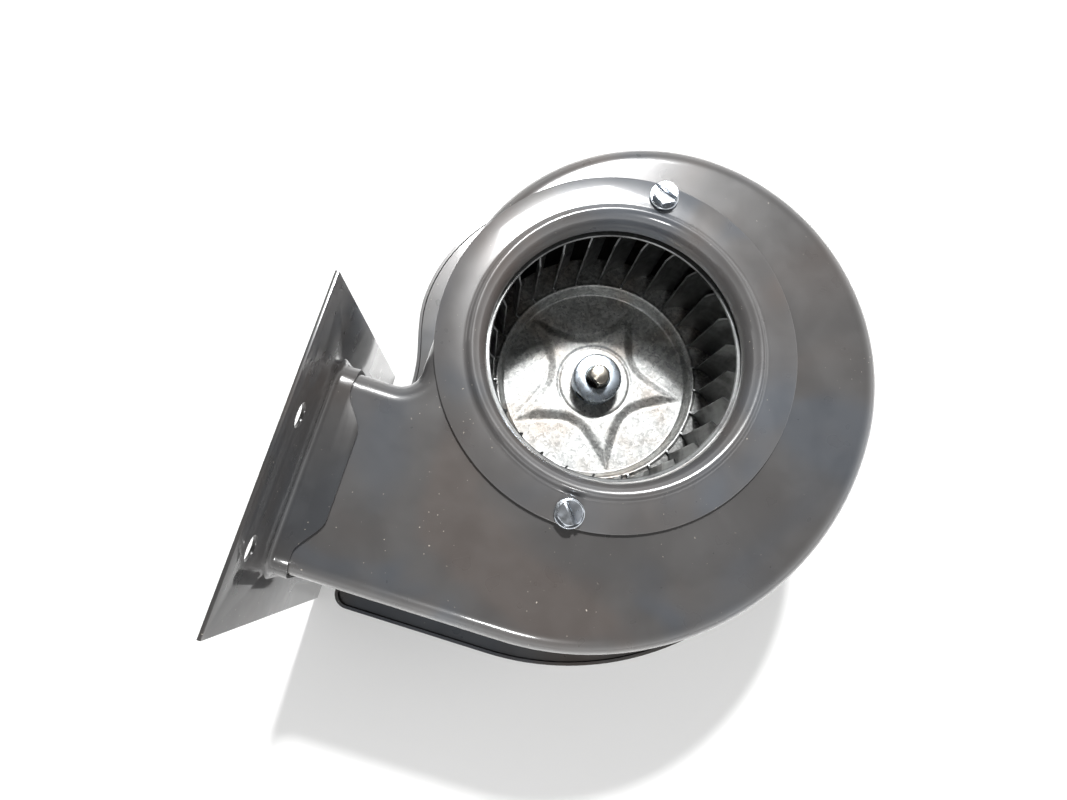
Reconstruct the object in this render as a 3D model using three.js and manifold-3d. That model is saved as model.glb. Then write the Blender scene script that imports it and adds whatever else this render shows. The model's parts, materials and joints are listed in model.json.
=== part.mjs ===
// Combustion fan: a scroll housing with a bell-mouth inlet, a rectangular outlet
// flange, a forward-curved blower wheel and a small shaded-pole motor behind it.
// Millimetres. The fan axis is Z, the inlet faces +Z and the air leaves toward -X.
// Everything is designed about the fan axis with z = 0 on the housing's front face,
// and the finished assembly is then stood on its lowest point.

import * as THREE from 'three';
import { mergeVertices } from 'three/addons/utils/BufferGeometryUtils.js';
import Module from 'manifold-3d';

const wasm = await Module();
wasm.setup();

// ---------------------------------------------------------------- driving sizes

const gap = 0.3;               // clearance between pieces that touch
const sheet = 1.2;             // housing sheet metal
const edgeRadius = 6;          // rounded front edge of the housing
const housingDepth = 71;       // front face to the back of the shell

// Blower wheel
const wheelRadius = 50.8;
const wheelFront = 6.3;        // front ring behind the housing's face
const wheelRearRoom = 19;      // back plate's outer annulus to the shell's back
const wheelSheet = 0.9;
const wheelLip = 3;
const bladeCount = 27;
const bladeDepth = 9.8;        // wheel's rim to the blades' inner edges
const bladeSheet = 0.7;
const bladeSweep = 11;         // degrees the tip leads the root
const bladeBulge = 1.5;        // camber of the blade
const bladePhase = 91;         // degrees, first blade
const bladeHook = 1.8;         // the inner edge runs out this far to the front ring
const bladeHookLength = 5;
const dishDepth = 5.3;         // the middle of the back plate is dished this much
const dishSlope = 3.3;         // width of the sloping wall of the dish
const dishRimInset = 1.4;      // blades' inner edges to the dish's rim
const rimBead = 0.6;
const starHeight = 1.4;
const starInset = 1.3;         // arm tips inside the dish's floor
const starWaist = 4;           // narrowest reach of the star outside the hub's groove
const starPhase = 6.6;         // degrees, first arm
const starArms = 5;
const grooveRoom = 5;          // hub to the groove round it
const grooveWidth = 1;
const grooveDepth = 0.7;

// Scroll: how far the wall stands from the fan axis after each quarter turn, clockwise
const scrollClearance = 8.2;   // wheel to the wall where the scroll starts
const growthToTop = 18.5;
const growthToRight = 13.3;
const growthToBottom = 10;
const scrollDrop = 1.3;        // the two large arcs are centred this much below the axis
const ductTop = -33.5;         // upper wall of the outlet duct
const cutoffRadius = 7;        // where the scroll turns into the duct
const ductLength = 26.65;      // scroll's left side to the outer face of the flange

const rimWidth = 13;           // how far the rear plate stands out round the scroll
const rimCorner = 6;
const rimBulge = 5.2;          // the rim stands out this much more beside the inlet
const rimNeck = 1.8;           // and this much less where the duct leaves the scroll
const bulgeHeight = 16;        // widest point above the axis
const lipHeight = 2.2;         // rolled lip that grips the shell's rim

// Inlet ring
const openingRoom = 2.2;       // the wheel passes through the front face with this to spare
const throatRoom = 1.2;        // throat outside the wheel's front ring
const throatClearance = 1.7;   // throat's end ahead of the wheel
const ringBead = 2.6;          // height of the raised bell bead
const beadRun = 2.7;           // crest to the flat of the ring
const screwInset = 4;          // screws outside the wheel opening
const ringInset = 4.4;         // ring's edge outside the screws

// Outlet flange
const flangeSheet = 1.2;
const flangeTopMargin = 19.5;  // beyond the duct on each side
const flangeBottomMargin = 17.6;
const flangeFrontMargin = 40;
const flangeRearMargin = 40.4;
const flangeHole = 4;          // radius
const flangeHoleSpacing = 40;
const flangeHoleDrop = 7.25;   // below the middle of the duct
const flangeHoleInset = 14.7;  // from the ends
const collarLength = 6.2;
const tongueLength = 13;
const tongueInset = 9.75;      // each end of the tongue inside the duct's wall
const tongueSlope = 11;        // run of its sloping ends
const collarBend = 2.2;        // bend between the plate and the collar

// Hub, shaft and set screw
const shaftRadius = 3.97;
const hubWall = 5.255;
const hubHeight = 9.5;         // above the star's plateau
const hubChamfer = 0.8;
const spigotStep = 1.6;
const spigotLength = 0.8;      // spigot behind the back plate
const shaftStandout = 6.2;     // shaft tip in front of the hub
const shaftChamfer = 0.9;
const shaftFlat = 1.07;        // depth of the flat
const flatAngle = -117;        // degrees, the way the flat and the set screw face
const setScrewRadius = 2.3;

// Motor
const bearingWall = 2.53;
const bearingLength = 11;
const noseWall = 3.4;          // bearing boss on both brackets
const noseFlare = 2;           // wider foot of the boss on the strap
const noseStandout = 7;        // front boss ahead of the rear plate
const rearNoseStandout = 4.4;  // rear boss behind its strap
const noseRoom = 2.5;          // hole in the rear plate round the boss
const bracketSheet = 3;
const bracketWidth = 17;
const bracketEnd = 7;          // strap beyond its last screw
const motorScrewStep = 12;     // through bolt to motor screw
const boltRadius = 2;
const boltWall = 4.6;          // rotor bore to the bolt hole
const boltEdge = 2.7;          // bolt hole to the core's side
const postRadius = 4.2;
const frontPost = 6.2;         // bracket to stator
const rearPost = 3.4;
const stackLength = 18;
const rotorRadius = 12.7;
const airGap = 0.4;
const endRingThickness = 2.4;
const coreFoot = 9.9;          // core below the rotor bore
const poleWall = 3.9;          // rotor bore to the window
const windowRoom = 21.2;       // open length of the window below the coil
const legWidth = 12;
const coilCore = 12;           // height of the bar that carries the coil
const bobbinWall = 1.2;
const bobbinCheek = 1.5;
const windingThickness = 5.4;
const cheekOverhang = 0.6;
const shadingBar = 2;
const shadingSpan = 5.6;
const shadingDrop = 9;
const terminalThickness = 0.8;
const terminalWidth = 6.3;
const terminalLength = 9;

// Screws
const washerRadius = 5.1;
const washerThickness = 1;
const hexRadius = 4.6;         // across corners
const hexHeight = 3;
const hexChamfer = 0.7;
const slotWidth = 1.3;
const slotDepth = 1.5;
const screwRadius = 2.4;
const screwLength = 9;
const panRadius = 4.2;
const panHeight = 2.5;

// Cutting blocks reach past everything
const vast = 1000;

// Fineness of the curves
const arcSteps = 10;
const edgeSteps = 4;
const ringSteps = 40;
const smallSteps = 16;

// ------------------------------------------------------------- derived sizes

const reachLeft = wheelRadius + scrollClearance + sheet;
const reachTop = reachLeft + growthToTop;
const reachRight = reachTop + growthToRight;
const reachBottom = reachRight + growthToBottom;
const lowerRadius = reachBottom - scrollDrop;
const rightRadius = reachTop + scrollDrop;
const lowerArc = { x: reachRight - lowerRadius, y: -scrollDrop, r: lowerRadius };
const rightArc = { x: reachRight - rightRadius, y: -scrollDrop, r: rightRadius };
const topArc = { x: rightArc.x, y: reachTop - reachLeft - rightArc.x, r: reachLeft + rightArc.x };
const ductBottom = -reachBottom;
const ductMiddle = (ductTop + ductBottom) / 2;
const outletFace = -reachLeft - ductLength;
const flangeBack = outletFace + flangeSheet;
const ductEnd = outletFace + flangeSheet / 2;
const shellBack = -housingDepth;
const plateFront = shellBack - gap;
const plateBack = plateFront - sheet;

const wheelInner = wheelRadius - bladeDepth + bladeHook;
const bladeInner = wheelRadius - bladeDepth;
const bladeTip = wheelRadius - wheelSheet - gap - bladeSheet;
const ringFront = -wheelFront;
const bladeTop = ringFront - wheelSheet - gap;
const discFront = shellBack + wheelRearRoom;
const bladeEnd = discFront + gap;
const dishRim = bladeInner - dishRimInset;
const dishRadius = dishRim - dishSlope;
const dishFront = discFront - dishDepth;
const starFront = dishFront + starHeight;
const discBack = dishFront - wheelSheet;

const boreRadius = shaftRadius + gap;
const hubRadius = boreRadius + hubWall;
const spigotRadius = hubRadius - spigotStep;
const bossGroove = hubRadius + grooveRoom;
const hubFront = starFront + hubHeight;
const hubBack = discBack - spigotLength;
const shaftTip = hubFront + shaftStandout;
const flatReach = shaftRadius - shaftFlat;
const setScrewHeight = (hubFront - hubChamfer + starFront) / 2;

const ringTop = gap + sheet;
const wheelOpening = wheelRadius + openingRoom;
const throatRadius = wheelInner + throatRoom;
const throatDepth = wheelFront - throatClearance;
const inletScrewCircle = wheelOpening + screwInset;
const beadRadius = inletScrewCircle - washerRadius - gap - beadRun;
const bellWidth = beadRadius - throatRadius;   // throat to the crest of the bead
const ringRadius = inletScrewCircle + ringInset;

const bearingRadius = boreRadius + bearingWall;
const bearingSeat = bearingRadius + gap;
const noseRadius = bearingSeat + noseWall;
const motorWindow = noseRadius + noseRoom;
const bracketFront = plateBack - gap;
const bracketBack = bracketFront - bracketSheet;
const noseFront = plateFront + noseStandout;
const statorFront = bracketBack - frontPost - gap;
const statorBack = statorFront - stackLength;
const statorMiddle = (statorFront + statorBack) / 2;
const rearBracketFront = statorBack - gap - rearPost;
const rearBracketBack = rearBracketFront - bracketSheet;
const motorEnd = rearBracketBack - rearNoseStandout;
const rearSeat = motorEnd + sheet;
const statorBore = rotorRadius + airGap;
const boltReach = statorBore + boltWall + boltRadius + gap;
const motorScrewReach = boltReach + motorScrewStep;
const statorHalf = boltReach + boltRadius + gap + boltEdge;
const coilReach = bobbinWall + windingThickness + 2 * gap + cheekOverhang;
const windowStart = statorBore + poleWall;
const windowEnd = windowStart + windowRoom + coilReach;
const windowHalf = statorHalf - legWidth;
const coilMiddle = windowEnd + coilCore / 2;
const shadingInner = statorBore + shadingBar / 2 + 2 * gap;
const shadingOuter = shadingInner + shadingSpan;
const slotHalf = shadingBar / 2 + gap;

// ------------------------------------------------------------------ materials

const finish = (color, roughness, metalness) =>
  new THREE.MeshStandardMaterial({ color, roughness, metalness });

const gunmetal = finish(0x4b484b, 0.3, 0.6);
const steel = finish(0x8a8c8c, 0.45, 0.9);
const zinc = finish(0xb9c0c8, 0.3, 0.95);
const castZinc = finish(0x9a9b9a, 0.55, 0.85);
const bronze = finish(0x9c7238, 0.5, 0.9);
const lamination = finish(0x57585c, 0.5, 0.8);
const copper = finish(0xb0673a, 0.35, 0.95);
const nylon = finish(0xe4e0d2, 0.5, 0);
const tape = finish(0xc9a94e, 0.6, 0);
const aluminium = finish(0xb4b6b8, 0.4, 0.9);
const brightShaft = finish(0xc7c4bc, 0.2, 1);

// --------------------------------------------------------------- solid helpers

function solid(geometry) {
  const bare = geometry.clone();
  bare.deleteAttribute('normal');
  bare.deleteAttribute('uv');
  const merged = mergeVertices(bare, 1e-4);
  return new wasm.Manifold(new wasm.Mesh({
    numProp: 3,
    vertProperties: new Float32Array(merged.attributes.position.array),
    triVerts: new Uint32Array(merged.index.array),
  }));
}

function geometryOf(body) {
  const mesh = body.getMesh();
  const geometry = new THREE.BufferGeometry();
  geometry.setAttribute('position', new THREE.BufferAttribute(mesh.vertProperties, 3));
  geometry.setIndex(new THREE.BufferAttribute(mesh.triVerts, 1));
  return geometry;
}

function joined(...bodies) {
  return bodies.reduce((whole, body) => whole.add(body));
}

function cut(body, ...tools) {
  return tools.reduce((rest, tool) => rest.subtract(tool), body);
}

const assembly = new THREE.Group();

function place(name, body, material, parent = assembly) {
  const geometry = body.isBufferGeometry ? body : geometryOf(body);
  const mesh = new THREE.Mesh(geometry, material);
  mesh.name = name;
  parent.add(mesh);
  return mesh;
}

// Prism of a shape in XY between two heights.
function prism(shape, low, high, curveSegments = arcSteps) {
  const options = { depth: high - low, bevelEnabled: false, curveSegments };
  return solid(new THREE.ExtrudeGeometry(shape, options).translate(0, 0, low));
}

function disc(radius, low, high, steps = smallSteps, x = 0, y = 0) {
  const cylinder = new THREE.CylinderGeometry(radius, radius, high - low, steps);
  return solid(cylinder.rotateX(Math.PI / 2).translate(x, y, (low + high) / 2));
}

function block(x0, x1, y0, y1, z0, z1) {
  const box = new THREE.BoxGeometry(x1 - x0, y1 - y0, z1 - z0);
  return solid(box.translate((x0 + x1) / 2, (y0 + y1) / 2, (z0 + z1) / 2));
}

// Solid of revolution about Z from [radius, z] points that close on themselves.
function turned(points, steps = ringSteps) {
  const profile = points.map(([radius, z]) => new THREE.Vector2(radius, z));
  if (points[0][0] > 0) profile.push(profile[0].clone());
  const lathe = new THREE.LatheGeometry(profile, steps).rotateX(Math.PI / 2);
  const body = solid(lathe);
  return body.volume() > 0 ? body : solid(flipped(lathe));
}

function flipped(geometry) {
  const index = geometry.index.array;
  for (let i = 0; i < index.length; i += 3) [index[i], index[i + 1]] = [index[i + 1], index[i]];
  return geometry;
}

function tube(outer, inner, low, high, steps = ringSteps) {
  return turned([[inner, low], [outer, low], [outer, high], [inner, high]], steps);
}

const radians = THREE.MathUtils.degToRad;

// A shape drawn in (Y, Z) and pulled along X.
function sidePrism(shape, x0, x1) {
  const options = { depth: x1 - x0, bevelEnabled: false, curveSegments: edgeSteps };
  const turn = new THREE.Matrix4().makeBasis(
    new THREE.Vector3(0, 1, 0), new THREE.Vector3(0, 0, 1), new THREE.Vector3(1, 0, 0));
  return solid(new THREE.ExtrudeGeometry(shape, options).applyMatrix4(turn).translate(x0, 0, 0));
}

function rectangle(u0, u1, v0, v1) {
  return new THREE.Shape()
    .moveTo(u0, v0).lineTo(u1, v0).lineTo(u1, v1).lineTo(u0, v1).closePath();
}

// --------------------------------------------------------------------- housing

// The three arcs of the scroll, grown outward by an amount.
function largeArcs(path, grow) {
  path.lineTo(lowerArc.x, lowerArc.y - lowerArc.r - grow);
  path.absarc(lowerArc.x, lowerArc.y, lowerArc.r + grow, -Math.PI / 2, 0, false);
  path.absarc(rightArc.x, rightArc.y, rightArc.r + grow, 0, Math.PI / 2, false);
}

function scrollArcs(path, grow) {
  largeArcs(path, grow);
  path.absarc(topArc.x, topArc.y, topArc.r + grow, Math.PI / 2, Math.PI, false);
}

function scrollOutline(grow, end) {
  const shape = new THREE.Shape();
  const turnX = -reachLeft - cutoffRadius;
  const turnY = ductTop + cutoffRadius;
  shape.moveTo(end, ductBottom - grow);
  scrollArcs(shape, grow);
  shape.absarc(turnX, turnY, cutoffRadius - grow, 0, -Math.PI / 2, true);
  shape.lineTo(end, ductTop + grow);
  shape.closePath();
  return shape;
}

// Scroll and duct as one body with a rounded front edge.
function scrollBody(grow, front, radius, back) {
  const beyond = 10;
  const options = {
    depth: front - back - radius + beyond,
    bevelEnabled: true,
    bevelThickness: radius,
    bevelSize: radius,
    bevelOffset: -radius,
    bevelSegments: edgeSteps,
    curveSegments: arcSteps,
  };
  const far = outletFace - beyond;
  const pulled = new THREE.ExtrudeGeometry(scrollOutline(grow, far - radius), options);
  const body = solid(pulled.translate(0, 0, back - beyond));
  return body.intersect(block(far, vast, -vast, vast, back, front + 1));
}

function rimOutline(width) {
  const shape = new THREE.Shape();
  const left = -reachLeft - width;
  const bottom = ductBottom - width;
  const widest = left - rimBulge;
  const neck = left + rimNeck;
  const neckTop = ductTop + 11.5;
  const top = rightArc.y + rightArc.r + width;
  shape.moveTo(left + rimCorner, bottom);
  largeArcs(shape, width);
  shape.absellipse(rightArc.x, bulgeHeight, rightArc.x - widest, top - bulgeHeight,
    Math.PI / 2, Math.PI, false, 0);
  shape.bezierCurveTo(widest, bulgeHeight - 14, neck, neckTop + 14, neck, neckTop);
  shape.lineTo(neck, ductTop);
  shape.absarc(left + rimCorner, bottom + rimCorner, rimCorner, Math.PI, 1.5 * Math.PI, false);
  shape.closePath();
  return shape;
}

const ductPassage = block(
  outletFace - 1, -reachLeft - 1, ductBottom - gap, ductTop + gap, plateFront, 1);
const inside = scrollBody(-sheet, -sheet, edgeRadius - sheet, shellBack - 1);
const shellRimWidth = rimWidth - sheet - gap;

function frontShell() {
  const rim = prism(rimOutline(shellRimWidth), shellBack, shellBack + sheet);
  const skin = joined(scrollBody(0, 0, edgeRadius, shellBack), rim);
  const outlet = block(-vast, ductEnd, -vast, vast, -vast, vast);
  const opening = disc(wheelOpening, -5, 5, ringSteps);
  const holes = [1, -1].map((side) =>
    disc(screwRadius + gap, -5, 5, smallSteps, 0, side * inletScrewCircle));
  return cut(skin, inside, outlet, opening, ...holes);
}

function rearPlate() {
  const plate = prism(rimOutline(rimWidth), plateBack, plateFront);
  const floor = block(ductEnd, -reachLeft, ductBottom, ductTop, plateBack, plateFront);
  const lipTop = plateFront + lipHeight;
  const lip = cut(
    prism(rimOutline(rimWidth), plateBack, lipTop),
    prism(rimOutline(rimWidth - sheet), plateFront, lipTop + 1),
    ductPassage);
  const holes = [1, -1].map((side) =>
    disc(screwRadius + gap, plateBack - 1, plateFront + 1, smallSteps, side * motorScrewReach));
  const window = disc(motorWindow, plateBack - 1, plateFront + 1, ringSteps);
  return cut(joined(plate, floor, lip), window, ...holes);
}

// Half section of the bell mouth: flat, bead, then a curved run down to the throat.
function bellCurve() {
  const rise = new THREE.CubicBezierCurve(
    new THREE.Vector2(beadRadius + beadRun, ringTop),
    new THREE.Vector2(beadRadius + beadRun / 2, ringTop),
    new THREE.Vector2(beadRadius + beadRun / 2, ringTop + ringBead),
    new THREE.Vector2(beadRadius, ringTop + ringBead));
  const fall = new THREE.CubicBezierCurve(
    new THREE.Vector2(beadRadius, ringTop + ringBead),
    new THREE.Vector2(beadRadius - bellWidth / 2, ringTop + ringBead),
    new THREE.Vector2(throatRadius, ringTop - 1),
    new THREE.Vector2(throatRadius, -throatDepth));
  return [new THREE.Vector2(ringRadius, ringTop), ...rise.getPoints(3), ...fall.getPoints(6).slice(1)];
}

// Offsets an open profile to one side and closes it into a sheet.
function sheetProfile(points, thickness) {
  const back = points.map((point, i) => {
    const before = points[Math.max(i - 1, 0)];
    const after = points[Math.min(i + 1, points.length - 1)];
    const along = after.clone().sub(before).normalize();
    return new THREE.Vector2(point.x - along.y * thickness, point.y + along.x * thickness);
  });
  return [...points, ...back.reverse()].map((point) => [point.x, point.y]);
}

function inletRing() {
  const ring = turned(sheetProfile(bellCurve(), sheet));
  const holes = [1, -1].map((side) =>
    disc(screwRadius + gap, -1, 5, smallSteps, 0, side * inletScrewCircle));
  return cut(ring, ...holes);
}

function inletScrew(slotAngle) {
  const seat = ringTop + gap;
  const headTop = seat + washerThickness + hexHeight;
  const shank = disc(screwRadius, seat - screwLength, seat + 0.1);
  const washer = disc(washerRadius, seat, seat + washerThickness, 28);
  const hex = solid(new THREE.CylinderGeometry(hexRadius, hexRadius, hexHeight, 6)
    .rotateX(Math.PI / 2).translate(0, 0, seat + washerThickness + hexHeight / 2));
  const crown = turned([
    [0, seat], [hexRadius + hexChamfer, seat], [hexRadius + hexChamfer, headTop - 2 * hexChamfer],
    [hexRadius - hexChamfer, headTop], [0, headTop]], 24);
  const slot = block(-hexRadius, hexRadius, -slotWidth / 2, slotWidth / 2, headTop - slotDepth, headTop + 1);
  const head = cut(hex.intersect(crown), slot.rotate([0, 0, slotAngle]));
  return joined(shank, washer, head);
}

place('front_shell', frontShell(), gunmetal);
place('rear_plate', rearPlate(), gunmetal);
place('inlet_ring', inletRing(), gunmetal);
[[1, -19], [-1, -49]].forEach(([side, slotAngle], i) => {
  const screw = place(`inlet_screw_${i + 1}`, inletScrew(slotAngle), zinc);
  screw.position.y = side * inletScrewCircle;
});

// -------------------------------------------------------------- outlet flange

// Section of the duct with its two rounded front corners, grown by an amount.
function ductSection(grow) {
  const low = ductBottom - grow;
  const high = ductTop + grow;
  const radius = edgeRadius + grow;
  const shape = new THREE.Shape();
  shape.moveTo(low, plateBack - grow);
  shape.lineTo(high, plateBack - grow);
  shape.absarc(high - radius, grow - radius, radius, 0, Math.PI / 2, false);
  shape.absarc(low + radius, grow - radius, radius, Math.PI / 2, Math.PI, false);
  shape.closePath();
  return shape;
}

function tongueOutline() {
  const start = flangeBack;
  const shoulder = start + collarLength;
  const tip = start + tongueLength;
  const half = (ductTop - ductBottom) / 2 - tongueInset;
  const flat = half - tongueSlope;
  const shape = new THREE.Shape().moveTo(start, ductMiddle - half);
  shape.lineTo(shoulder - 1, ductMiddle - half);
  shape.quadraticCurveTo(shoulder + 1, ductMiddle - half, shoulder + 2.5, ductMiddle - half + 4);
  shape.quadraticCurveTo(tip, ductMiddle - flat - 3, tip, ductMiddle - flat);
  shape.lineTo(tip, ductMiddle + flat);
  shape.quadraticCurveTo(tip, ductMiddle + flat + 3, shoulder + 2.5, ductMiddle + half - 4);
  shape.quadraticCurveTo(shoulder + 1, ductMiddle + half, shoulder - 1, ductMiddle + half);
  shape.lineTo(start, ductMiddle + half);
  shape.closePath();
  return shape;
}

function outletFlange() {
  const low = ductBottom - flangeBottomMargin;
  const high = ductTop + flangeTopMargin;
  const rear = shellBack - flangeRearMargin;
  const plate = sidePrism(rectangle(low, high, rear, flangeFrontMargin), outletFace, flangeBack);
  const collar = sidePrism(ductSection(gap + sheet), flangeBack - 0.1, flangeBack + collarLength);
  const bend = sidePrism(ductSection(gap + sheet + collarBend / 2), flangeBack - 0.1,
    flangeBack + collarBend / 2);
  const tongue = prism(tongueOutline(), gap, gap + sheet, 4);
  const passage = sidePrism(ductSection(gap), outletFace - 1, flangeBack + collarLength + 1);
  const holes = [];
  for (const z of [flangeFrontMargin - flangeHoleInset, rear + flangeHoleInset]) {
    for (const side of [-1, 1]) {
      const y = ductMiddle - flangeHoleDrop + side * flangeHoleSpacing / 2;
      const cylinder = new THREE.CylinderGeometry(flangeHole, flangeHole, flangeSheet + 2, smallSteps);
      holes.push(solid(cylinder.rotateZ(Math.PI / 2).translate(outletFace + flangeSheet / 2, y, z)));
    }
  }
  return cut(joined(plate, collar, bend, tongue), passage, ...holes);
}

place('outlet_flange', outletFlange(), gunmetal);

// ----------------------------------------------------------------- blower wheel

const wheel = new THREE.Group();
assembly.add(wheel);

function wheelRing() {
  return turned([
    [wheelInner, ringFront], [wheelRadius, ringFront], [wheelRadius, ringFront - wheelLip],
    [wheelRadius - wheelSheet, ringFront - wheelLip],
    [wheelRadius - wheelSheet, ringFront - wheelSheet], [wheelInner, ringFront - wheelSheet]]);
}

// One blade lies along +X: its tip leads the root clockwise, and its face is hollow.
function bladeGeometry() {
  const sweep = radians(-bladeSweep);
  const root = new THREE.Vector2(bladeInner, 0);
  const tip = new THREE.Vector2(bladeTip * Math.cos(sweep), bladeTip * Math.sin(sweep));
  const along = tip.clone().sub(root).normalize();
  const side = new THREE.Vector2(-along.y, along.x);
  const middle = root.clone().add(tip).multiplyScalar(0.5);
  const arc = (offset) => new THREE.QuadraticBezierCurve(
    root.clone().addScaledVector(side, offset),
    middle.clone().addScaledVector(side, offset + 2 * bladeBulge),
    tip.clone().addScaledVector(side, offset)).getPoints(5);
  const section = new THREE.Shape([...arc(0), ...arc(bladeSheet).reverse()]);
  const hook = turned([
    [0, bladeTop - bladeHookLength], [bladeInner - 0.4, bladeTop - bladeHookLength],
    [wheelInner + 0.9, bladeTop - 0.6], [wheelInner + 0.9, bladeTop + 1], [0, bladeTop + 1]], 36);
  return geometryOf(prism(section, bladeEnd, bladeTop).subtract(hook));
}

// Five-armed raised star, its sides hollow between the arms.
function starOutline() {
  const shape = new THREE.Shape();
  const at = (radius, degrees) => [radius * Math.cos(radians(degrees)), radius * Math.sin(radians(degrees))];
  const step = 360 / starArms;
  const tipHalf = 2;
  const starTip = dishRadius - starInset;
  const waist = bossGroove + starWaist;
  shape.moveTo(...at(starTip - 2, starPhase + tipHalf));
  for (let arm = 0; arm < starArms; arm += 1) {
    const here = starPhase + arm * step;
    const next = here + step;
    shape.bezierCurveTo(
      ...at(waist + 3, here + 16), ...at(waist, here + 24), ...at(waist, here + step / 2));
    shape.bezierCurveTo(
      ...at(waist, next - 24), ...at(waist + 3, next - 16), ...at(starTip - 2, next - tipHalf));
    shape.quadraticCurveTo(...at(starTip, next), ...at(starTip - 2, next + tipHalf));
  }
  return shape;
}

function wheelBackPlate() {
  const plate = turned([
    [spigotRadius - 1, dishFront], [dishRadius, dishFront], [dishRim - 0.8, discFront + rimBead / 2],
    [dishRim, discFront + rimBead], [dishRim + 0.8, discFront], [wheelRadius, discFront],
    [wheelRadius, discFront - wheelLip], [wheelRadius - wheelSheet, discFront - wheelLip],
    [wheelRadius - wheelSheet, discFront - wheelSheet], [dishRim + 0.6, discFront - wheelSheet],
    [dishRadius + 0.6, discBack], [spigotRadius - 1, discBack]]);
  const star = prism(starOutline(), dishFront - 0.1, starFront, 4);
  const groove = tube(bossGroove + grooveWidth / 2, bossGroove - grooveWidth / 2,
    starFront - grooveDepth, starFront + 1, 28);
  const hole = disc(spigotRadius + gap, discBack - 1, starFront + 1, 28);
  return cut(joined(plate, star), groove, hole);
}

function hub() {
  const seat = starFront + gap;
  const body = turned([
    [boreRadius, hubBack], [spigotRadius, hubBack], [spigotRadius, seat],
    [hubRadius, seat], [hubRadius, hubFront - hubChamfer], [hubRadius - hubChamfer, hubFront],
    [boreRadius + 0.6, hubFront], [boreRadius, hubFront - 0.6]], 36);
  const hole = new THREE.CylinderGeometry(setScrewRadius + gap, setScrewRadius + gap, hubRadius + 2, 16)
    .translate(0, (hubRadius + 2) / 2, 0).rotateZ(radians(flatAngle - 90))
    .translate(0, 0, setScrewHeight);
  return cut(body, solid(hole));
}

function setScrew() {
  const inner = flatReach + gap;
  const length = hubRadius - 0.4 - inner;
  const stud = new THREE.CylinderGeometry(setScrewRadius, setScrewRadius, length, 16)
    .translate(0, inner + length / 2, 0);
  const socket = new THREE.CylinderGeometry(1.3, 1.3, 2.4, 6).translate(0, inner + length, 0);
  return cut(solid(stud), solid(socket)).rotate([0, 0, flatAngle - 90])
    .translate([0, 0, setScrewHeight]);
}

function shaft() {
  const end = rearSeat + 1.5;
  const rod = turned([
    [0, end], [shaftRadius - 0.5, end], [shaftRadius, end + 0.5], [shaftRadius, shaftTip - shaftChamfer],
    [shaftRadius - shaftChamfer, shaftTip], [0, shaftTip]], 28);
  const flat = block(flatReach, 2 * shaftRadius, -shaftRadius - 1, shaftRadius + 1, hubBack, shaftTip + 1)
    .rotate([0, 0, flatAngle]);
  return cut(rod, flat);
}

place('wheel_front_ring', wheelRing(), steel, wheel);
place('wheel_back_plate', wheelBackPlate(), castZinc, wheel);
const blade = bladeGeometry();
for (let i = 0; i < bladeCount; i += 1) {
  const name = `blade_${String(i + 1).padStart(2, '0')}`;
  place(name, blade, steel, wheel).rotation.z = radians(bladePhase - i * 360 / bladeCount);
}
place('wheel_hub', hub(), zinc, wheel);
place('hub_set_screw', setScrew(), lamination, wheel);
place('motor_shaft', shaft(), brightShaft, wheel);

// ------------------------------------------------------------------------ motor

const motor = new THREE.Group();
assembly.add(motor);

function strap(lastScrew, low, high) {
  const half = lastScrew + bracketEnd - bracketWidth / 2;
  const shape = new THREE.Shape();
  shape.moveTo(-half, -bracketWidth / 2);
  shape.lineTo(half, -bracketWidth / 2);
  shape.absarc(half, 0, bracketWidth / 2, -Math.PI / 2, Math.PI / 2, false);
  shape.absarc(-half, 0, bracketWidth / 2, Math.PI / 2, 1.5 * Math.PI, false);
  return joined(prism(shape, low, high, 8), disc(noseRadius + noseFlare, low, high, 28));
}

const boltHoles = (radius, low, high) => [1, -1].map((side) =>
  disc(radius, low, high, smallSteps, side * boltReach));

function frontBracket() {
  const back = bracketBack;
  const posts = boltHoles(postRadius, back - frontPost, bracketFront);
  const nose = disc(noseRadius, back, noseFront, 28);
  const screwHoles = [1, -1].map((side) =>
    disc(screwRadius + gap, back - 1, bracketFront + 1, smallSteps, side * motorScrewReach));
  const seat = disc(bearingSeat, noseFront - bearingLength - gap, noseFront + 1, 28);
  const passage = disc(shaftRadius + 1, back - 5, noseFront + 1, smallSteps);
  return cut(joined(strap(motorScrewReach, back, bracketFront), nose, ...posts),
    seat, passage, ...screwHoles, ...boltHoles(boltRadius + gap, back - frontPost - 1, bracketFront + 1));
}

function rearBracket() {
  const posts = boltHoles(postRadius, rearBracketBack, rearBracketFront + rearPost);
  const nose = disc(noseRadius, motorEnd, rearBracketFront, 28);
  const seat = disc(bearingSeat, rearSeat, rearBracketFront + 1, 28);
  return cut(joined(strap(boltReach, rearBracketBack, rearBracketFront), nose, ...posts),
    seat, ...boltHoles(boltRadius + gap, rearBracketBack - 1, rearBracketFront + rearPost + 1));
}

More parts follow.
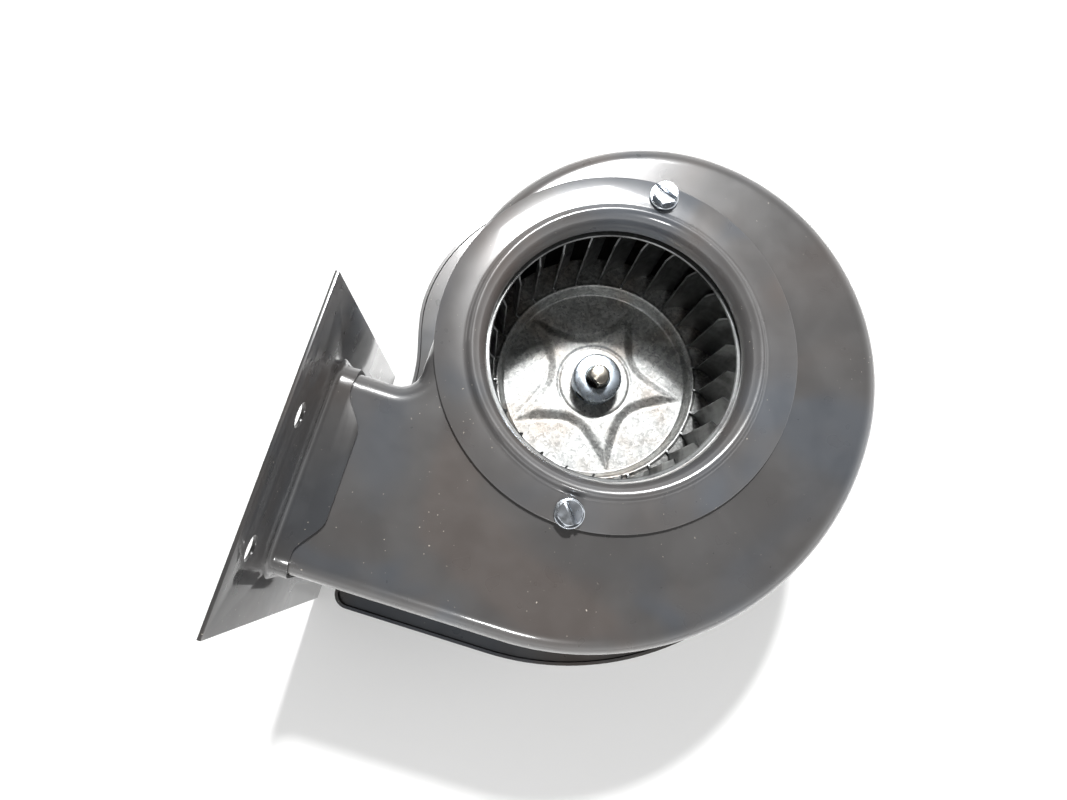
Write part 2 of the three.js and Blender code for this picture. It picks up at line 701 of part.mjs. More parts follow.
function statorCore() {
  const top = windowEnd + coilCore;
  const foot = -statorBore - coreFoot;
  const body = prism(rectangle(-statorHalf, statorHalf, foot, top), statorBack, statorFront);
  const bore = disc(statorBore, statorBack - 1, statorFront + 1, 40);
  const window = block(-windowHalf, windowHalf, windowStart, windowEnd, statorBack - 1, statorFront + 1);
  const slit = block(-1, 1, 0, windowStart + 1, statorBack - 1, statorFront + 1);
  const shadingY = -shadingDrop;
  const slots = [];
  for (const side of [-1, 1]) {
    for (const x of [shadingInner, shadingOuter]) {
      slots.push(block(side * x - slotHalf, side * x + slotHalf, shadingY - slotHalf, shadingY + slotHalf,
        statorBack - 1, statorFront + 1));
    }
  }
  const holes = boltHoles(boltRadius + gap, statorBack - 1, statorFront + 1);
  return cut(body, bore, window, slit, ...slots, ...holes);
}

function shadingRing(side) {
  const shadingY = -shadingDrop;
  const x0 = Math.min(side * shadingInner, side * shadingOuter) - shadingBar / 2;
  const x1 = Math.max(side * shadingInner, side * shadingOuter) + shadingBar / 2;
  const low = statorBack - gap - shadingBar;
  const high = statorFront + gap + shadingBar;
  const outer = block(x0, x1, shadingY - shadingBar / 2, shadingY + shadingBar / 2, low, high);
  const hole = block(x0 + shadingBar, x1 - shadingBar, shadingY - 5, shadingY + 5,
    low + shadingBar, high - shadingBar);
  return cut(outer, hole);
}

const bobbinHalf = windowHalf - gap;
const barHalfY = coilCore / 2 + gap;
const barHalfZ = stackLength / 2 + gap;

function coilBlock(x, grow) {
  return block(-x, x, coilMiddle - barHalfY - grow, coilMiddle + barHalfY + grow,
    statorMiddle - barHalfZ - grow, statorMiddle + barHalfZ + grow);
}

function bobbin() {
  const flange = coilReach - gap;
  const tubeBody = coilBlock(bobbinHalf, bobbinWall);
  const cheeks = coilBlock(bobbinHalf, flange);
  const between = coilBlock(bobbinHalf - bobbinCheek, flange + 1);
  const pads = [1, -1].map((side) => {
    const x = side * (bobbinHalf - bobbinCheek / 2);
    const base = coilMiddle + barHalfY + flange;
    const low = x - bobbinCheek / 2;
    const pad = block(low, low + bobbinCheek, base - 0.5, base + 3, statorMiddle - 6, statorMiddle + 6);
    return cut(pad, terminalBlock(side, gap));
  });
  return cut(joined(tubeBody, cheeks.subtract(between), ...pads), coilBlock(bobbinHalf + 1, 0),
    terminalBlock(1, gap), terminalBlock(-1, gap));
}

function winding() {
  return cut(coilBlock(bobbinHalf - bobbinCheek - gap, bobbinWall + gap + windingThickness),
    coilBlock(bobbinHalf, bobbinWall + gap));
}

// Flat push-on terminal that stands out of the bobbin's cheek.
function terminalBlock(side, grow) {
  const x = side * (bobbinHalf - bobbinCheek / 2);
  const base = coilMiddle + barHalfY + coilReach + 0.8;
  return block(x - terminalThickness / 2 - grow, x + terminalThickness / 2 + grow, base - grow,
    base + terminalLength, statorMiddle - terminalWidth / 2 - grow, statorMiddle + terminalWidth / 2 + grow);
}

function throughBolt() {
  const head = rearBracketBack - gap;
  const tip = bracketFront - 0.6;
  return joined(disc(boltRadius, head - 0.1, tip, 16), disc(3.6, head - 2.4, head, 6));
}

function motorScrew() {
  const seat = plateFront + gap;
  const shank = disc(screwRadius, bracketBack, seat + 0.1);
  const top = seat + panHeight;
  const head = turned([
    [0, seat], [panRadius, seat], [panRadius, top - slotDepth], [panRadius - slotDepth, top], [0, top]], 20);
  const slot = block(-panRadius, panRadius, -slotWidth / 2, slotWidth / 2, top - slotDepth, top + 1);
  return cut(joined(shank, head), slot);
}

const bearing = (low) => tube(bearingRadius, boreRadius, low, low + bearingLength, 28);

place('front_bracket', frontBracket(), castZinc, motor);
place('rear_bracket', rearBracket(), castZinc, motor);
place('front_bearing', bearing(noseFront - bearingLength), bronze, motor);
place('rear_bearing', tube(bearingRadius, boreRadius, rearSeat + gap, rearBracketFront, 28),
  bronze, motor);
place('stator_core', statorCore(), lamination, motor);
[1, -1].forEach((side, i) => place(`shading_ring_${i + 1}`, shadingRing(side), copper, motor));
place('coil_bobbin', bobbin(), nylon, motor);
place('coil_winding', winding(), tape, motor);
[1, -1].forEach((side, i) =>
  place(`terminal_${i + 1}`, terminalBlock(side, 0), zinc, motor));
[1, -1].forEach((side, i) => {
  place(`through_bolt_${i + 1}`, throughBolt(), zinc, motor).position.x = side * boltReach;
  place(`motor_screw_${i + 1}`, motorScrew(), zinc, motor).position.x = side * motorScrewReach;
});

// Rotor on the shaft
place('rotor_core', tube(rotorRadius, boreRadius, statorBack, statorFront, 36), lamination, motor);
place('rotor_end_ring_front', tube(rotorRadius - 1, boreRadius, statorFront + gap,
  statorFront + gap + endRingThickness, 32), aluminium, motor);
place('rotor_end_ring_rear', tube(rotorRadius - 1, boreRadius, statorBack - gap - endRingThickness,
  statorBack - gap, 32), aluminium, motor);

// ---------------------------------------------- stand the assembly on its base

const extent = new THREE.Box3().setFromObject(assembly);
const centre = extent.getCenter(new THREE.Vector3());
assembly.position.set(-centre.x, -centre.y, -extent.min.z);

const group = new THREE.Group();
group.add(assembly);

export default group;
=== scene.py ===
# %% [markdown]
# A combustion fan: a pressed scroll housing with a bell-mouth inlet, a blower wheel inside it,
# a flange on its outlet and a small motor behind. The engineer's solids are loaded first as a
# fixed frame. Every place and size below is read from them, so each finished piece lands
# exactly where its solid is.

# %% Load the fixed frame
import bmesh
import bpy
import json
from math import atan2, cos, exp, hypot, pi, radians, sin
from mathutils import Matrix, Vector
from mathutils.geometry import interpolate_bezier
from mathutils.kdtree import KDTree


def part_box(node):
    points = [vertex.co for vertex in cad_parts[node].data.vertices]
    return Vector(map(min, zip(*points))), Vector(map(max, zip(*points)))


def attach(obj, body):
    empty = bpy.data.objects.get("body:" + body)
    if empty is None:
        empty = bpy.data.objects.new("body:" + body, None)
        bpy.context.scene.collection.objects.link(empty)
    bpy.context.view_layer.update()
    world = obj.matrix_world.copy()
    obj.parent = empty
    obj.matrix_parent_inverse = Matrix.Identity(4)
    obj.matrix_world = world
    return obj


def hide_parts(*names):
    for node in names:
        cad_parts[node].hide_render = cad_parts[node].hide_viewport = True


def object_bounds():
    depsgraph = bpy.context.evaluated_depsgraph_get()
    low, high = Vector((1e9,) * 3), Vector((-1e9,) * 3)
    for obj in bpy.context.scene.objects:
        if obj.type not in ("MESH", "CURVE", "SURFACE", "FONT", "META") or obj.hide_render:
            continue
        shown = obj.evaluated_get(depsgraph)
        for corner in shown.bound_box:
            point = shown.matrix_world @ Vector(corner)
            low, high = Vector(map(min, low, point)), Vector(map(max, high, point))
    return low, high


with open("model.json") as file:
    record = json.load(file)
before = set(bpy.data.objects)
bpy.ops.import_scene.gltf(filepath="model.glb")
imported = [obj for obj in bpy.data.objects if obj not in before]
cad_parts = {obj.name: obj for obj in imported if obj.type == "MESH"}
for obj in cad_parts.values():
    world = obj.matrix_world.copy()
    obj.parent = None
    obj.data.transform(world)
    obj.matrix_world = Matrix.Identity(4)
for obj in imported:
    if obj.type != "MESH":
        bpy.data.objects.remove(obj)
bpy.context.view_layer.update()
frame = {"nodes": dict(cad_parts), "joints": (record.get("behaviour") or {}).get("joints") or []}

# %% [markdown]
# The fan is easiest to think about from its own shaft. So every piece is drawn with the shaft
# at the middle and the housing's front face at zero height, and is moved to its place at the
# end. The helper below reads a solid's box in that same way.

# %% Where the shaft and the front face are
mm = 0.001
merge_distance = 0.002 * mm
cut_tolerance = 1e-6
shaft_at = frame["joints"][0]["pos_m"]
fan = Vector((shaft_at[0], shaft_at[1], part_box("front_shell")[1].z))


def span(node):
    low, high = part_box(node)
    return low - fan, high - fan


def middle(node):
    low, high = span(node)
    return (low + high) / 2


print("fan centre in millimetres:", [round(value / mm, 2) for value in fan])

# %% [markdown]
# Four small drawing moves make most of the outlines: put down a point, run a straight line
# from it, swing it round a centre, and close the loop. Each is one bmesh operator, and each
# hands back the last point so that the next move can go on from there. A free curve is given
# as a list of points for the straight lines to follow.

# %% Drawing moves
def start_at(bm, x, y, z=0.0):
    return bmesh.ops.create_vert(bm, co=(x, y, z))["vert"][0]


def line_to(bm, last, x, y, z=None):
    end = bmesh.ops.extrude_vert_indiv(bm, verts=[last])["verts"][0]
    end.co = (x, y, last.co.z if z is None else z)
    return end


def swing(bm, last, x, y, turn, steps):
    arc = bmesh.ops.spin(bm, geom=[last], cent=(x, y, last.co.z), axis=(0, 0, 1),
                         angle=radians(turn), steps=steps, use_merge=False)
    return verts_in(arc["geom_last"])[0]


def curve(start, near_start, near_end, end, count):
    points = interpolate_bezier(*(Vector((*p, 0)) for p in (start, near_start, near_end, end)),
                                count)
    return [(p.x, p.y) for p in points]


def verts_in(made):
    return [item for item in made if isinstance(item, bmesh.types.BMVert)]


def shift(bm, verts, x=0.0, y=0.0, z=0.0):
    bmesh.ops.translate(bm, verts=verts, vec=(x, y, z))


def everything(bm):
    return bm.verts[:] + bm.edges[:] + bm.faces[:]


def close_loop(bm, last, first):
    bmesh.ops.contextual_create(bm, geom=[last, first])


def fill_flat(bm, edges):
    bmesh.ops.triangle_fill(bm, use_beauty=True, edges=edges, normal=(0, 0, 1))


def open_edges(bm, keep):
    return [edge for edge in bm.edges if len(edge.link_faces) < 2 and keep(edge)]


def disc_edges(bm, radius, x, y, z, steps):
    made = bmesh.ops.create_circle(bm, segments=steps, radius=radius,
                                   matrix=Matrix.Translation((x, y, z)))
    return list({edge for vert in made["verts"] for edge in vert.link_edges})


def turned(bm, points, steps):
    """Draws a half section of (radius, height) points, open or closed, and spins all of it."""
    first = last = start_at(bm, points[0][0], 0, points[0][1])
    for radius, height in points[1:]:
        if (radius, height) == points[0]:
            close_loop(bm, last, first)
        else:
            last = line_to(bm, last, radius, 0, height)
    bmesh.ops.spin(bm, geom=everything(bm), cent=(0, 0, 0), axis=(0, 0, 1), angle=2 * pi,
                   steps=steps, use_merge=True)


print("drawing moves are ready")

# %% [markdown]
# A piece is finished in the same few steps each time. Doubles are merged, the faces are turned
# outward, the mesh is moved to its place, thickness and rounded edges are put on with
# modifiers, and edges sharper than a set angle stay crisp while the rest is shaded smooth.
# Then it is hung on the body it rides on, and the solid it stands for is hidden.

# %% Finishing a piece
sharp_corner = radians(40)


def face_outward(bm, toward):
    """Open sheets can't say which side is out, so the face furthest along a direction decides."""
    bmesh.ops.recalc_face_normals(bm, faces=bm.faces)
    toward = Vector(toward)
    facing_bonus = 0.001
    end = max(bm.faces, key=lambda face: face.calc_center_median().dot(toward)
              + facing_bonus * abs(face.normal.dot(toward)))
    if end.normal.dot(toward) < 0:
        bmesh.ops.reverse_faces(bm, faces=bm.faces)


def bake_modifiers(piece):
    seen = piece.evaluated_get(bpy.context.evaluated_depsgraph_get())
    flat = bpy.data.meshes.new_from_object(seen)
    piece.modifiers.clear()
    piece.data = flat


def thicken(piece, wall):
    thick = piece.modifiers.new("Sheet", "SOLIDIFY")
    thick.thickness = wall
    thick.offset = -1
    thick.use_even_offset = True
    bake_modifiers(piece)


def round_edges(piece, width, segments=2):
    rounded = piece.modifiers.new("Edge", "BEVEL")
    rounded.width = width
    rounded.segments = segments
    rounded.limit_method = "ANGLE"
    rounded.angle_limit = sharp_corner
    bake_modifiers(piece)


def dress(piece, body, nodes, finish, crease):
    piece.data.shade_smooth()
    piece.data.set_sharp_from_angle(angle=radians(crease))
    piece.data.materials.clear()
    piece.data.materials.append(finish)
    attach(piece, body)
    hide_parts(*nodes)
    print(f"{piece.name}: {len(piece.data.polygons)} faces on {body}")


def carve(piece, cutters):
    for cutter in cutters:
        cut = piece.modifiers.new("Cut", "BOOLEAN")
        cut.object = cutter
        cut.solver = "EXACT"
    bake_modifiers(piece)
    for cutter in cutters:
        bpy.data.objects.remove(cutter)


def as_object(bm, name):
    mesh = bpy.data.meshes.new(name)
    bm.to_mesh(mesh)
    bm.free()
    made = bpy.data.objects.new(name, mesh)
    bpy.context.scene.collection.objects.link(made)
    return made


def piece_from(bm, name, body, nodes, finish, crease, toward=None, wall=0.0, edge=0.0,
               cutters=()):
    bmesh.ops.remove_doubles(bm, verts=bm.verts, dist=merge_distance)
    if toward:
        face_outward(bm, toward)
    else:
        bmesh.ops.recalc_face_normals(bm, faces=bm.faces)
    bmesh.ops.translate(bm, verts=bm.verts, vec=fan)
    piece = as_object(bm, name)
    if wall:
        thicken(piece, wall)
    if cutters:
        carve(piece, cutters)
    if edge:
        round_edges(piece, edge)
    dress(piece, body, nodes, finish, crease)
    return piece


def cutter_from(bm):
    bmesh.ops.recalc_face_normals(bm, faces=bm.faces)
    bmesh.ops.translate(bm, verts=bm.verts, vec=fan)
    cutter = as_object(bm, "cutter")
    cutter.hide_render = True
    return cutter


def round_bar(bm, radius, length, matrix, sides=32):
    bmesh.ops.create_cone(bm, cap_ends=True, segments=sides, radius1=radius, radius2=radius,
                          depth=length, matrix=matrix)


def brick(bm, size, matrix):
    bmesh.ops.create_cube(bm, size=1, matrix=matrix @ Matrix.Diagonal((*size, 1)))


print("finishing steps are ready")

# %% [markdown]
# The camera stands above the fan and looks almost straight down on the inlet, tipped a little
# so that the near side of the housing shows, and rolled so that the outlet points down to the
# left. It depends on nothing but the fan's centre.

# %% Camera
camera_over = Vector((-24.84, -72.69, 259.96)) * mm
looked_at = Vector((-21.87, -25.0, 0)) * mm
camera_roll = radians(21.2)
image_width = 1067
focal_in_widths = 800 / image_width

lens = bpy.data.cameras.new("camera")
lens.sensor_width = 36
lens.lens = lens.sensor_width * focal_in_widths
lens.clip_start = 5 * mm
camera = bpy.data.objects.new("camera", lens)
bpy.context.scene.collection.objects.link(camera)
aim = (looked_at - camera_over).to_track_quat("-Z", "Y").to_matrix()
turn = (aim @ Matrix.Rotation(camera_roll, 3, "Z")).to_4x4()
camera.matrix_world = Matrix.Translation(fan + camera_over) @ turn
bpy.context.scene.camera = camera
print("lens", round(lens.lens, 2), "mm")

# %% [markdown]
# The fan lies on a plain white table in a bright room. A small hard lamp above the top of the
# scroll throws the inlet's shadow into the wheel, and a wide panel in the same direction is
# mirrored in the upper part of the glossy face. A weaker lamp on the near side catches the
# far rim of the wheel's dish, and two low fills lighten the table's shadows. The room is
# bright all round and dark overhead, which draws the light lines along the edges.

# %% Floor and lights
floor_half = 3
table_white = (0.93, 0.93, 0.925, 1)
table_roughness = 0.5
sky_strength = 1.7
sky_stops = [(0.0, 1.0), (0.3, 0.55), (0.55, 0.27), (0.8, 0.07), (1.0, 0.035)]

bm = bmesh.new()
bmesh.ops.create_grid(bm, x_segments=1, y_segments=1, size=floor_half)
shift(bm, bm.verts, fan.x, fan.y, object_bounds()[0][2])
floor = as_object(bm, "floor")

table_paint = bpy.data.materials.new("table_paint")
table_paint.use_nodes = True
table_shader = table_paint.node_tree.nodes["Principled BSDF"]
table_shader.inputs["Base Color"].default_value = table_white
table_shader.inputs["Roughness"].default_value = table_roughness
floor.data.materials.append(table_paint)


def add_light(name, place, size, power, depth=None, turn=0.0):
    light = bpy.data.lights.new(name, "AREA")
    light.shape = "RECTANGLE" if depth else "DISK"
    light.size = size
    light.size_y = depth or size
    light.energy = power
    lamp = bpy.data.objects.new(name, light)
    bpy.context.scene.collection.objects.link(lamp)
    toward_fan = (-Vector(place)).to_track_quat("-Z", "Y").to_matrix()
    facing = (toward_fan @ Matrix.Rotation(turn, 3, "Z")).to_4x4()
    lamp.matrix_world = Matrix.Translation(fan + Vector(place)) @ facing
    return lamp


add_light("key_lamp", (-0.093, 0.410, 0.700), 0.06, 9)
panel = add_light("mirrored_panel", (-0.110, 0.455, 0.700), 0.30, 6, depth=0.21,
                  turn=radians(32))
panel.visible_diffuse = False
add_light("near_lamp", (0.06, -0.62, 0.62), 0.14, 2.0)
for name, place, power in (("low_fill", (0.15, -1.10, 0.30), 5),
                           ("side_fill", (1.10, 0.30, 0.35), 4)):
    add_light(name, place, 0.9, power).visible_glossy = False

sky = bpy.data.worlds.new("studio")
sky.use_nodes = True
sky_nodes, sky_links = sky.node_tree.nodes, sky.node_tree.links
sky_light = sky_nodes["Background"]
way = sky_nodes.new("ShaderNodeTexCoord").outputs["Generated"]
split = sky_nodes.new("ShaderNodeSeparateXYZ")
shade = sky_nodes.new("ShaderNodeValToRGB")
for _ in sky_stops[2:]:
    shade.color_ramp.elements.new(0.5)
for stop, (height, brightness) in zip(shade.color_ramp.elements, sky_stops):
    stop.position = height
    stop.color = (brightness, brightness, brightness, 1)
sky_links.new(way, split.inputs[0])
sky_links.new(split.outputs["Z"], shade.inputs[0])
sky_links.new(shade.outputs[0], sky_light.inputs["Color"])
sky_light.inputs["Strength"].default_value = sky_strength
bpy.context.scene.world = sky
bpy.context.scene.view_settings.view_transform = "Standard"

# %% [markdown]
# Every finish is mixed from a few small patterns: soft noise for stains and waviness, cells for
# the crystals of galvanised sheet, waves for turning marks and stacked plates. A short recipe
# class keeps the wiring out of the way, so that each finish reads as a list of what it shows.

# %% A recipe for finishes
class Recipe:
    def __init__(self, name, **sockets):
        self.material = bpy.data.materials.new(name)
        self.material.use_nodes = True
        self.nodes = self.material.node_tree.nodes
        self.links = self.material.node_tree.links
        self.shader = self.nodes["Principled BSDF"]
        self.place = self.nodes.new("ShaderNodeTexCoord").outputs["Object"]
        self.normal = None
        for socket, value in sockets.items():
            self.shader.inputs[socket.replace("_", " ")].default_value = value

    def feed(self, socket, value):
        if isinstance(value, bpy.types.NodeSocket):
            self.links.new(value, socket)
        else:
            socket.default_value = value

    def node(self, kind, inputs, **settings):
        made = self.nodes.new(kind)
        for name, value in settings.items():
            setattr(made, name, value)
        for socket, value in inputs.items():
            self.feed(made.inputs[socket], value)
        return made

    def mapped(self, **settings):
        return self.node("ShaderNodeMapping", {"Vector": self.place, **settings}).outputs["Vector"]

    def noise(self, scale, detail, place=None, distortion=0.0):
        return self.node("ShaderNodeTexNoise", {
            "Vector": place or self.place, "Scale": scale, "Detail": detail,
            "Distortion": distortion}).outputs["Fac"]

    def cells(self, scale, place=None):
        colour = self.node("ShaderNodeTexVoronoi", {
            "Vector": place or self.place, "Scale": scale}).outputs["Color"]
        return self.node("ShaderNodeSeparateColor", {"Color": colour}).outputs[0]

    def bands(self, pitch, direction, distortion, profile="SIN", detail=2.0):
        """A wave repeats every pi / 10 over its scale, so the scale is found from the pitch."""
        return self.node("ShaderNodeTexWave", {
            "Vector": self.place, "Scale": pi / 10 / pitch, "Distortion": distortion,
            "Detail": detail}, bands_direction=direction, wave_profile=profile).outputs["Fac"]

    def ramp(self, value, *stops):
        made = self.node("ShaderNodeValToRGB", {"Fac": value})
        made.color_ramp.interpolation = "EASE"
        bar = made.color_ramp.elements
        for _ in stops[2:]:
            bar.new(0.5)
        for element, (at, colour) in zip(bar, stops):
            element.position = at
            element.color = (*colour, 1) if isinstance(colour, tuple) else (colour,) * 3 + (1,)
        return made.outputs["Color"]

    def level(self, value, low, high, to_low, to_high):
        return self.node("ShaderNodeMapRange", {
            "Value": value, "From Min": low, "From Max": high, "To Min": to_low,
            "To Max": to_high}).outputs["Result"]

    def sums(self, how, a, b):
        return self.node("ShaderNodeMath", {0: a, 1: b}, operation=how).outputs[0]

    def mix(self, amount, a, b, how="MIX"):
        a, b = ((*value, 1) if isinstance(value, tuple) else value for value in (a, b))
        return self.node("ShaderNodeMix", {0: amount, 6: a, 7: b}, data_type="RGBA",
                         blend_type=how).outputs[2]

    def relief(self, height, depth, strength):
        inputs = {"Height": height, "Distance": depth, "Strength": strength}
        if self.normal:
            inputs["Normal"] = self.normal
        self.normal = self.node("ShaderNodeBump", inputs).outputs["Normal"]

    def cook(self, colour, roughness):
        self.links.new(colour, self.shader.inputs["Base Color"])
        self.links.new(roughness, self.shader.inputs["Roughness"])
        if self.normal:
            self.links.new(self.normal, self.shader.inputs["Normal"])
        return self.material


print("recipe is ready")

# %% [markdown]
# The housing is covered in a thick dark enamel. It isn't one colour: it drifts between brown and
# blue from place to place, holds grains of dust, and its gloss is broken by a fine orange
# peel and by the slow waves of the pressed sheet underneath.

# %% Enamel
def enamel(name, light, shift):
    paint = Recipe(name, Coat_Weight=1.0, Coat_Roughness=0.07, Coat_IOR=1.5)
    drift = paint.mapped(Location=(-shift, 0, 0))
    clouds = paint.noise(17, 2.0, drift, 0.6)
    blotches = paint.noise(46, 3.0, drift, 0.4)
    tint = paint.ramp(clouds, (0.36, (0.84 * light, 0.96 * light, 1.16 * light)),
                      (0.5, (1.0 * light, 0.94 * light, 0.92 * light)),
                      (0.64, (1.24 * light, 1.0 * light, 0.88 * light)))
    tint = paint.mix(0.4, tint, paint.ramp(blotches, (0.36, 0.78 * light), (0.64, 1.22 * light)))
    grains = paint.ramp(paint.noise(900, 1.0), (0.765, 0.0), (0.79, 1.0))
    patches = paint.ramp(paint.noise(30, 2.0), (0.45, 0.0), (0.6, 1.0))
    dust = paint.mix(1.0, grains, patches, "MULTIPLY")
    tint = paint.mix(dust, tint, (0.42, 0.38, 0.33))
    gloss = paint.level(paint.noise(120, 2.0), 0.3, 0.7, 0.27, 0.33)
    gloss = paint.sums("ADD", gloss, paint.sums("MULTIPLY", dust, 0.1))
    paint.relief(paint.noise(9, 0.0, drift), 0.5 * mm, 0.3)
    paint.relief(paint.noise(520, 2.0), 0.012 * mm, 0.5)
    paint.relief(dust, 0.008 * mm, 0.4)
    return paint.cook(tint, gloss)


# The same enamel is made in three lightnesses. The inlet ring's copy is lighter than the housing's,
# which is painted light, and the flange's copy is darker, which is painted shade.
housing_enamel = enamel("housing_enamel", 0.071, 0.0)
lit_inlet_enamel = enamel("lit_inlet_enamel", 0.094, 0.31)
shaded_flange_enamel = enamel("shaded_flange_enamel", 0.042, 0.57)
print("enamels:", housing_enamel.name, lit_inlet_enamel.name, shaded_flange_enamel.name)

# %% [markdown]
# Most of the bare parts are one metal or another, and differ in colour, in how dull they are and
# in the grain left by how they were made. One helper mixes stains, fine scratches and grain,
# and each part passes its own amounts.

# %% Bare metals
def metal(name, colour, dull, dullness, stain_size=60, grain=900, grain_depth=0.01,
          stretch=(1, 1, 1)):
    bare = Recipe(name, Metallic=1.0)
    marks = bare.noise(stain_size, 4.0, distortion=0.8)
    shade = bare.ramp(marks, (0.35, dull), (0.62, colour))
    fine = bare.noise(grain, 2.0, bare.mapped(Scale=stretch))
    shade = bare.mix(0.25, shade, bare.ramp(fine, (0.3, dull), (0.7, colour)))
    gloss = bare.level(marks, 0.35, 0.7, dullness[1], dullness[0])
    bare.relief(fine, grain_depth * mm, 0.6)
    return bare.cook(shade, gloss)


blade_steel = metal("blade_steel", (0.33, 0.34, 0.34), (0.12, 0.12, 0.12), dullness=(0.3, 0.48),
                    stretch=(1, 1, 0.2))
zinc_plate = metal("zinc_plate", (0.78, 0.82, 0.86), (0.50, 0.54, 0.60), dullness=(0.16, 0.3),
                   stain_size=220)
hub_zinc = metal("hub_zinc", (0.66, 0.73, 0.80), (0.42, 0.48, 0.55), dullness=(0.2, 0.34),
                 stain_size=300)
shaft_steel = metal("shaft_steel", (0.80, 0.75, 0.66), (0.52, 0.47, 0.40), dullness=(0.16, 0.3),
                    stain_size=350)
black_steel = metal("black_steel", (0.07, 0.07, 0.075), (0.03, 0.03, 0.032),
                    dullness=(0.35, 0.5))
cast_zinc = metal("cast_zinc", (0.55, 0.56, 0.57), (0.33, 0.33, 0.34), dullness=(0.38, 0.55),
                  grain=500, grain_depth=0.05)
bronze = metal("bronze", (0.62, 0.40, 0.19), (0.36, 0.22, 0.10), dullness=(0.3, 0.5))
copper = metal("copper", (0.85, 0.42, 0.24), (0.45, 0.20, 0.11), dullness=(0.2, 0.4),
               stain_size=200)
aluminium = metal("aluminium", (0.72, 0.73, 0.74), (0.5, 0.5, 0.51), dullness=(0.3, 0.45),
                  grain=400, grain_depth=0.04)
print("metals are mixed")

# %% [markdown]
# The wheel's back plate is galvanised. The zinc froze into crystals a millimetre or two across,
# each a slightly different grey and tilted its own way, so that the plate sparkles. Cells
# give the crystals, and a finer pattern roughens them.

# %% Galvanised sheet
def galvanised_sheet():
    coat = Recipe("galvanised", Metallic=1.0)
    wobble = coat.node("ShaderNodeTexNoise", {"Vector": coat.place, "Scale": 300.0})
    warped = coat.mix(0.012, coat.place, wobble.outputs["Color"])
    crystal = coat.cells(520, warped)
    small = coat.cells(1300)
    shade = coat.ramp(crystal, (0.0, (0.30, 0.31, 0.305)), (0.5, (0.45, 0.46, 0.45)),
                      (1.0, (0.62, 0.63, 0.615)))
    shade = coat.mix(0.35, shade, coat.ramp(small, (0.0, 0.17), (1.0, 0.48)))
    stains = coat.ramp(coat.noise(55, 3.0), (0.42, (1, 1, 1)), (0.72, (0.80, 0.73, 0.68)))
    shade = coat.mix(1.0, shade, stains, "MULTIPLY")
    gloss = coat.level(small, 0.0, 1.0, 0.46, 0.6)
    coat.relief(crystal, 0.05 * mm, 0.5)
    coat.relief(small, 0.03 * mm, 0.5)
    coat.relief(coat.noise(90, 2.0), 0.25 * mm, 0.4)
    return coat.cook(shade, gloss)


galvanised = galvanised_sheet()
print("galvanised sheet is mixed")

# %% [markdown]
# The motor's core is a stack of thin steel plates, so its sides show fine lines across the shaft.
# The coil is wound in wire and wrapped in varnished tape, which shows the turns underneath as soft
# ridges, with painted shade darkening the grooves between them. The bobbin is plain nylon with a
# faint mould texture.

# %% Stacked plates, winding tape and nylon
def stacked_plates():
    stack = Recipe("stacked_plates", Metallic=0.8)
    layers = stack.bands(0.5 * mm, "Z", 0.3, "SAW")
    blue = stack.ramp(stack.noise(70, 4.0), (0.35, (0.10, 0.105, 0.12)),
                      (0.65, (0.24, 0.24, 0.25)))
    shade = stack.mix(0.5, blue, stack.ramp(layers, (0.0, 0.08), (0.5, 0.30)))
    stack.relief(layers, 0.08 * mm, 0.6)
    return stack.cook(shade, stack.level(stack.noise(200, 3.0), 0.3, 0.7, 0.35, 0.55))


def wrapped_tape():
    wrap = Recipe("wrapped_tape", Coat_Weight=0.4, Coat_Roughness=0.25)
    turns = wrap.bands(1.1 * mm, "X", 0.8, detail=1.0)
    amber = wrap.ramp(wrap.noise(80, 4.0), (0.35, (0.48, 0.30, 0.08)), (0.65, (0.72, 0.52, 0.20)))
    # The colour darkens in the grooves between the turns, which is painted shade; the ridges
    # themselves come from the relief.
    shade = wrap.mix(0.3, amber, wrap.ramp(turns, (0.0, (0.30, 0.18, 0.05)),
                                           (0.7, (0.8, 0.6, 0.25))))
    wrap.relief(turns, 0.25 * mm, 0.7)
    return wrap.cook(shade, wrap.level(wrap.noise(300, 3.0), 0.3, 0.7, 0.35, 0.6))


def moulded_nylon():
    mould = Recipe("moulded_nylon", Subsurface_Weight=0.1, Subsurface_Scale=0.002)
    shade = mould.ramp(mould.noise(60, 3.0), (0.3, (0.70, 0.66, 0.55)), (0.7, (0.84, 0.81, 0.72)))
    mould.relief(mould.noise(700, 2.0), 0.02 * mm, 0.5)
    return mould.cook(shade, mould.level(mould.noise(150, 3.0), 0.3, 0.7, 0.4, 0.55))


lamination = stacked_plates()
coil_tape = wrapped_tape()
nylon = moulded_nylon()
print("motor finishes are mixed")

# %% [markdown]
# The scroll's wall moves away from the wheel as it goes round, so its outline is three arcs of
# growing radius that run into each other, then a fillet back into the straight outlet duct.
# The rim follows it at a set distance, but swells on the left beside the inlet and narrows to
# a neck above the duct. The measures come from the solids' boxes: how far the shell reaches
# each way, less its rim.

# %% The scroll's outline
sheet = 1.2 * mm
gap = 0.3 * mm
rim_width = 13 * mm
rim_corner = 6 * mm
rim_bulge = 5.2 * mm
rim_neck = 1.8 * mm
neck_height = 11.5 * mm
bulge_height = 16 * mm
bulge_ease = 14 * mm
edge_radius = 6 * mm
cutoff_radius = 7 * mm
scroll_clearance = 8.2 * mm
scroll_drop = 1.3 * mm
flange_over_duct = 19.5 * mm
lower_steps, right_steps, top_steps, cutoff_steps = 44, 40, 36, 12
bulge_steps = 40

plate_low, plate_high = span("rear_plate")
shell_low = span("front_shell")[0]
wheel_radius = span("wheel_front_ring")[1].x
reach_left = wheel_radius + scroll_clearance + sheet
reach_right = plate_high.x - rim_width
reach_top = plate_high.y - rim_width
duct_bottom = plate_low.y + rim_width
duct_top = span("outlet_flange")[1].y - flange_over_duct
duct_middle = (duct_bottom + duct_top) / 2
duct_end = shell_low.x
shell_back = shell_low.z

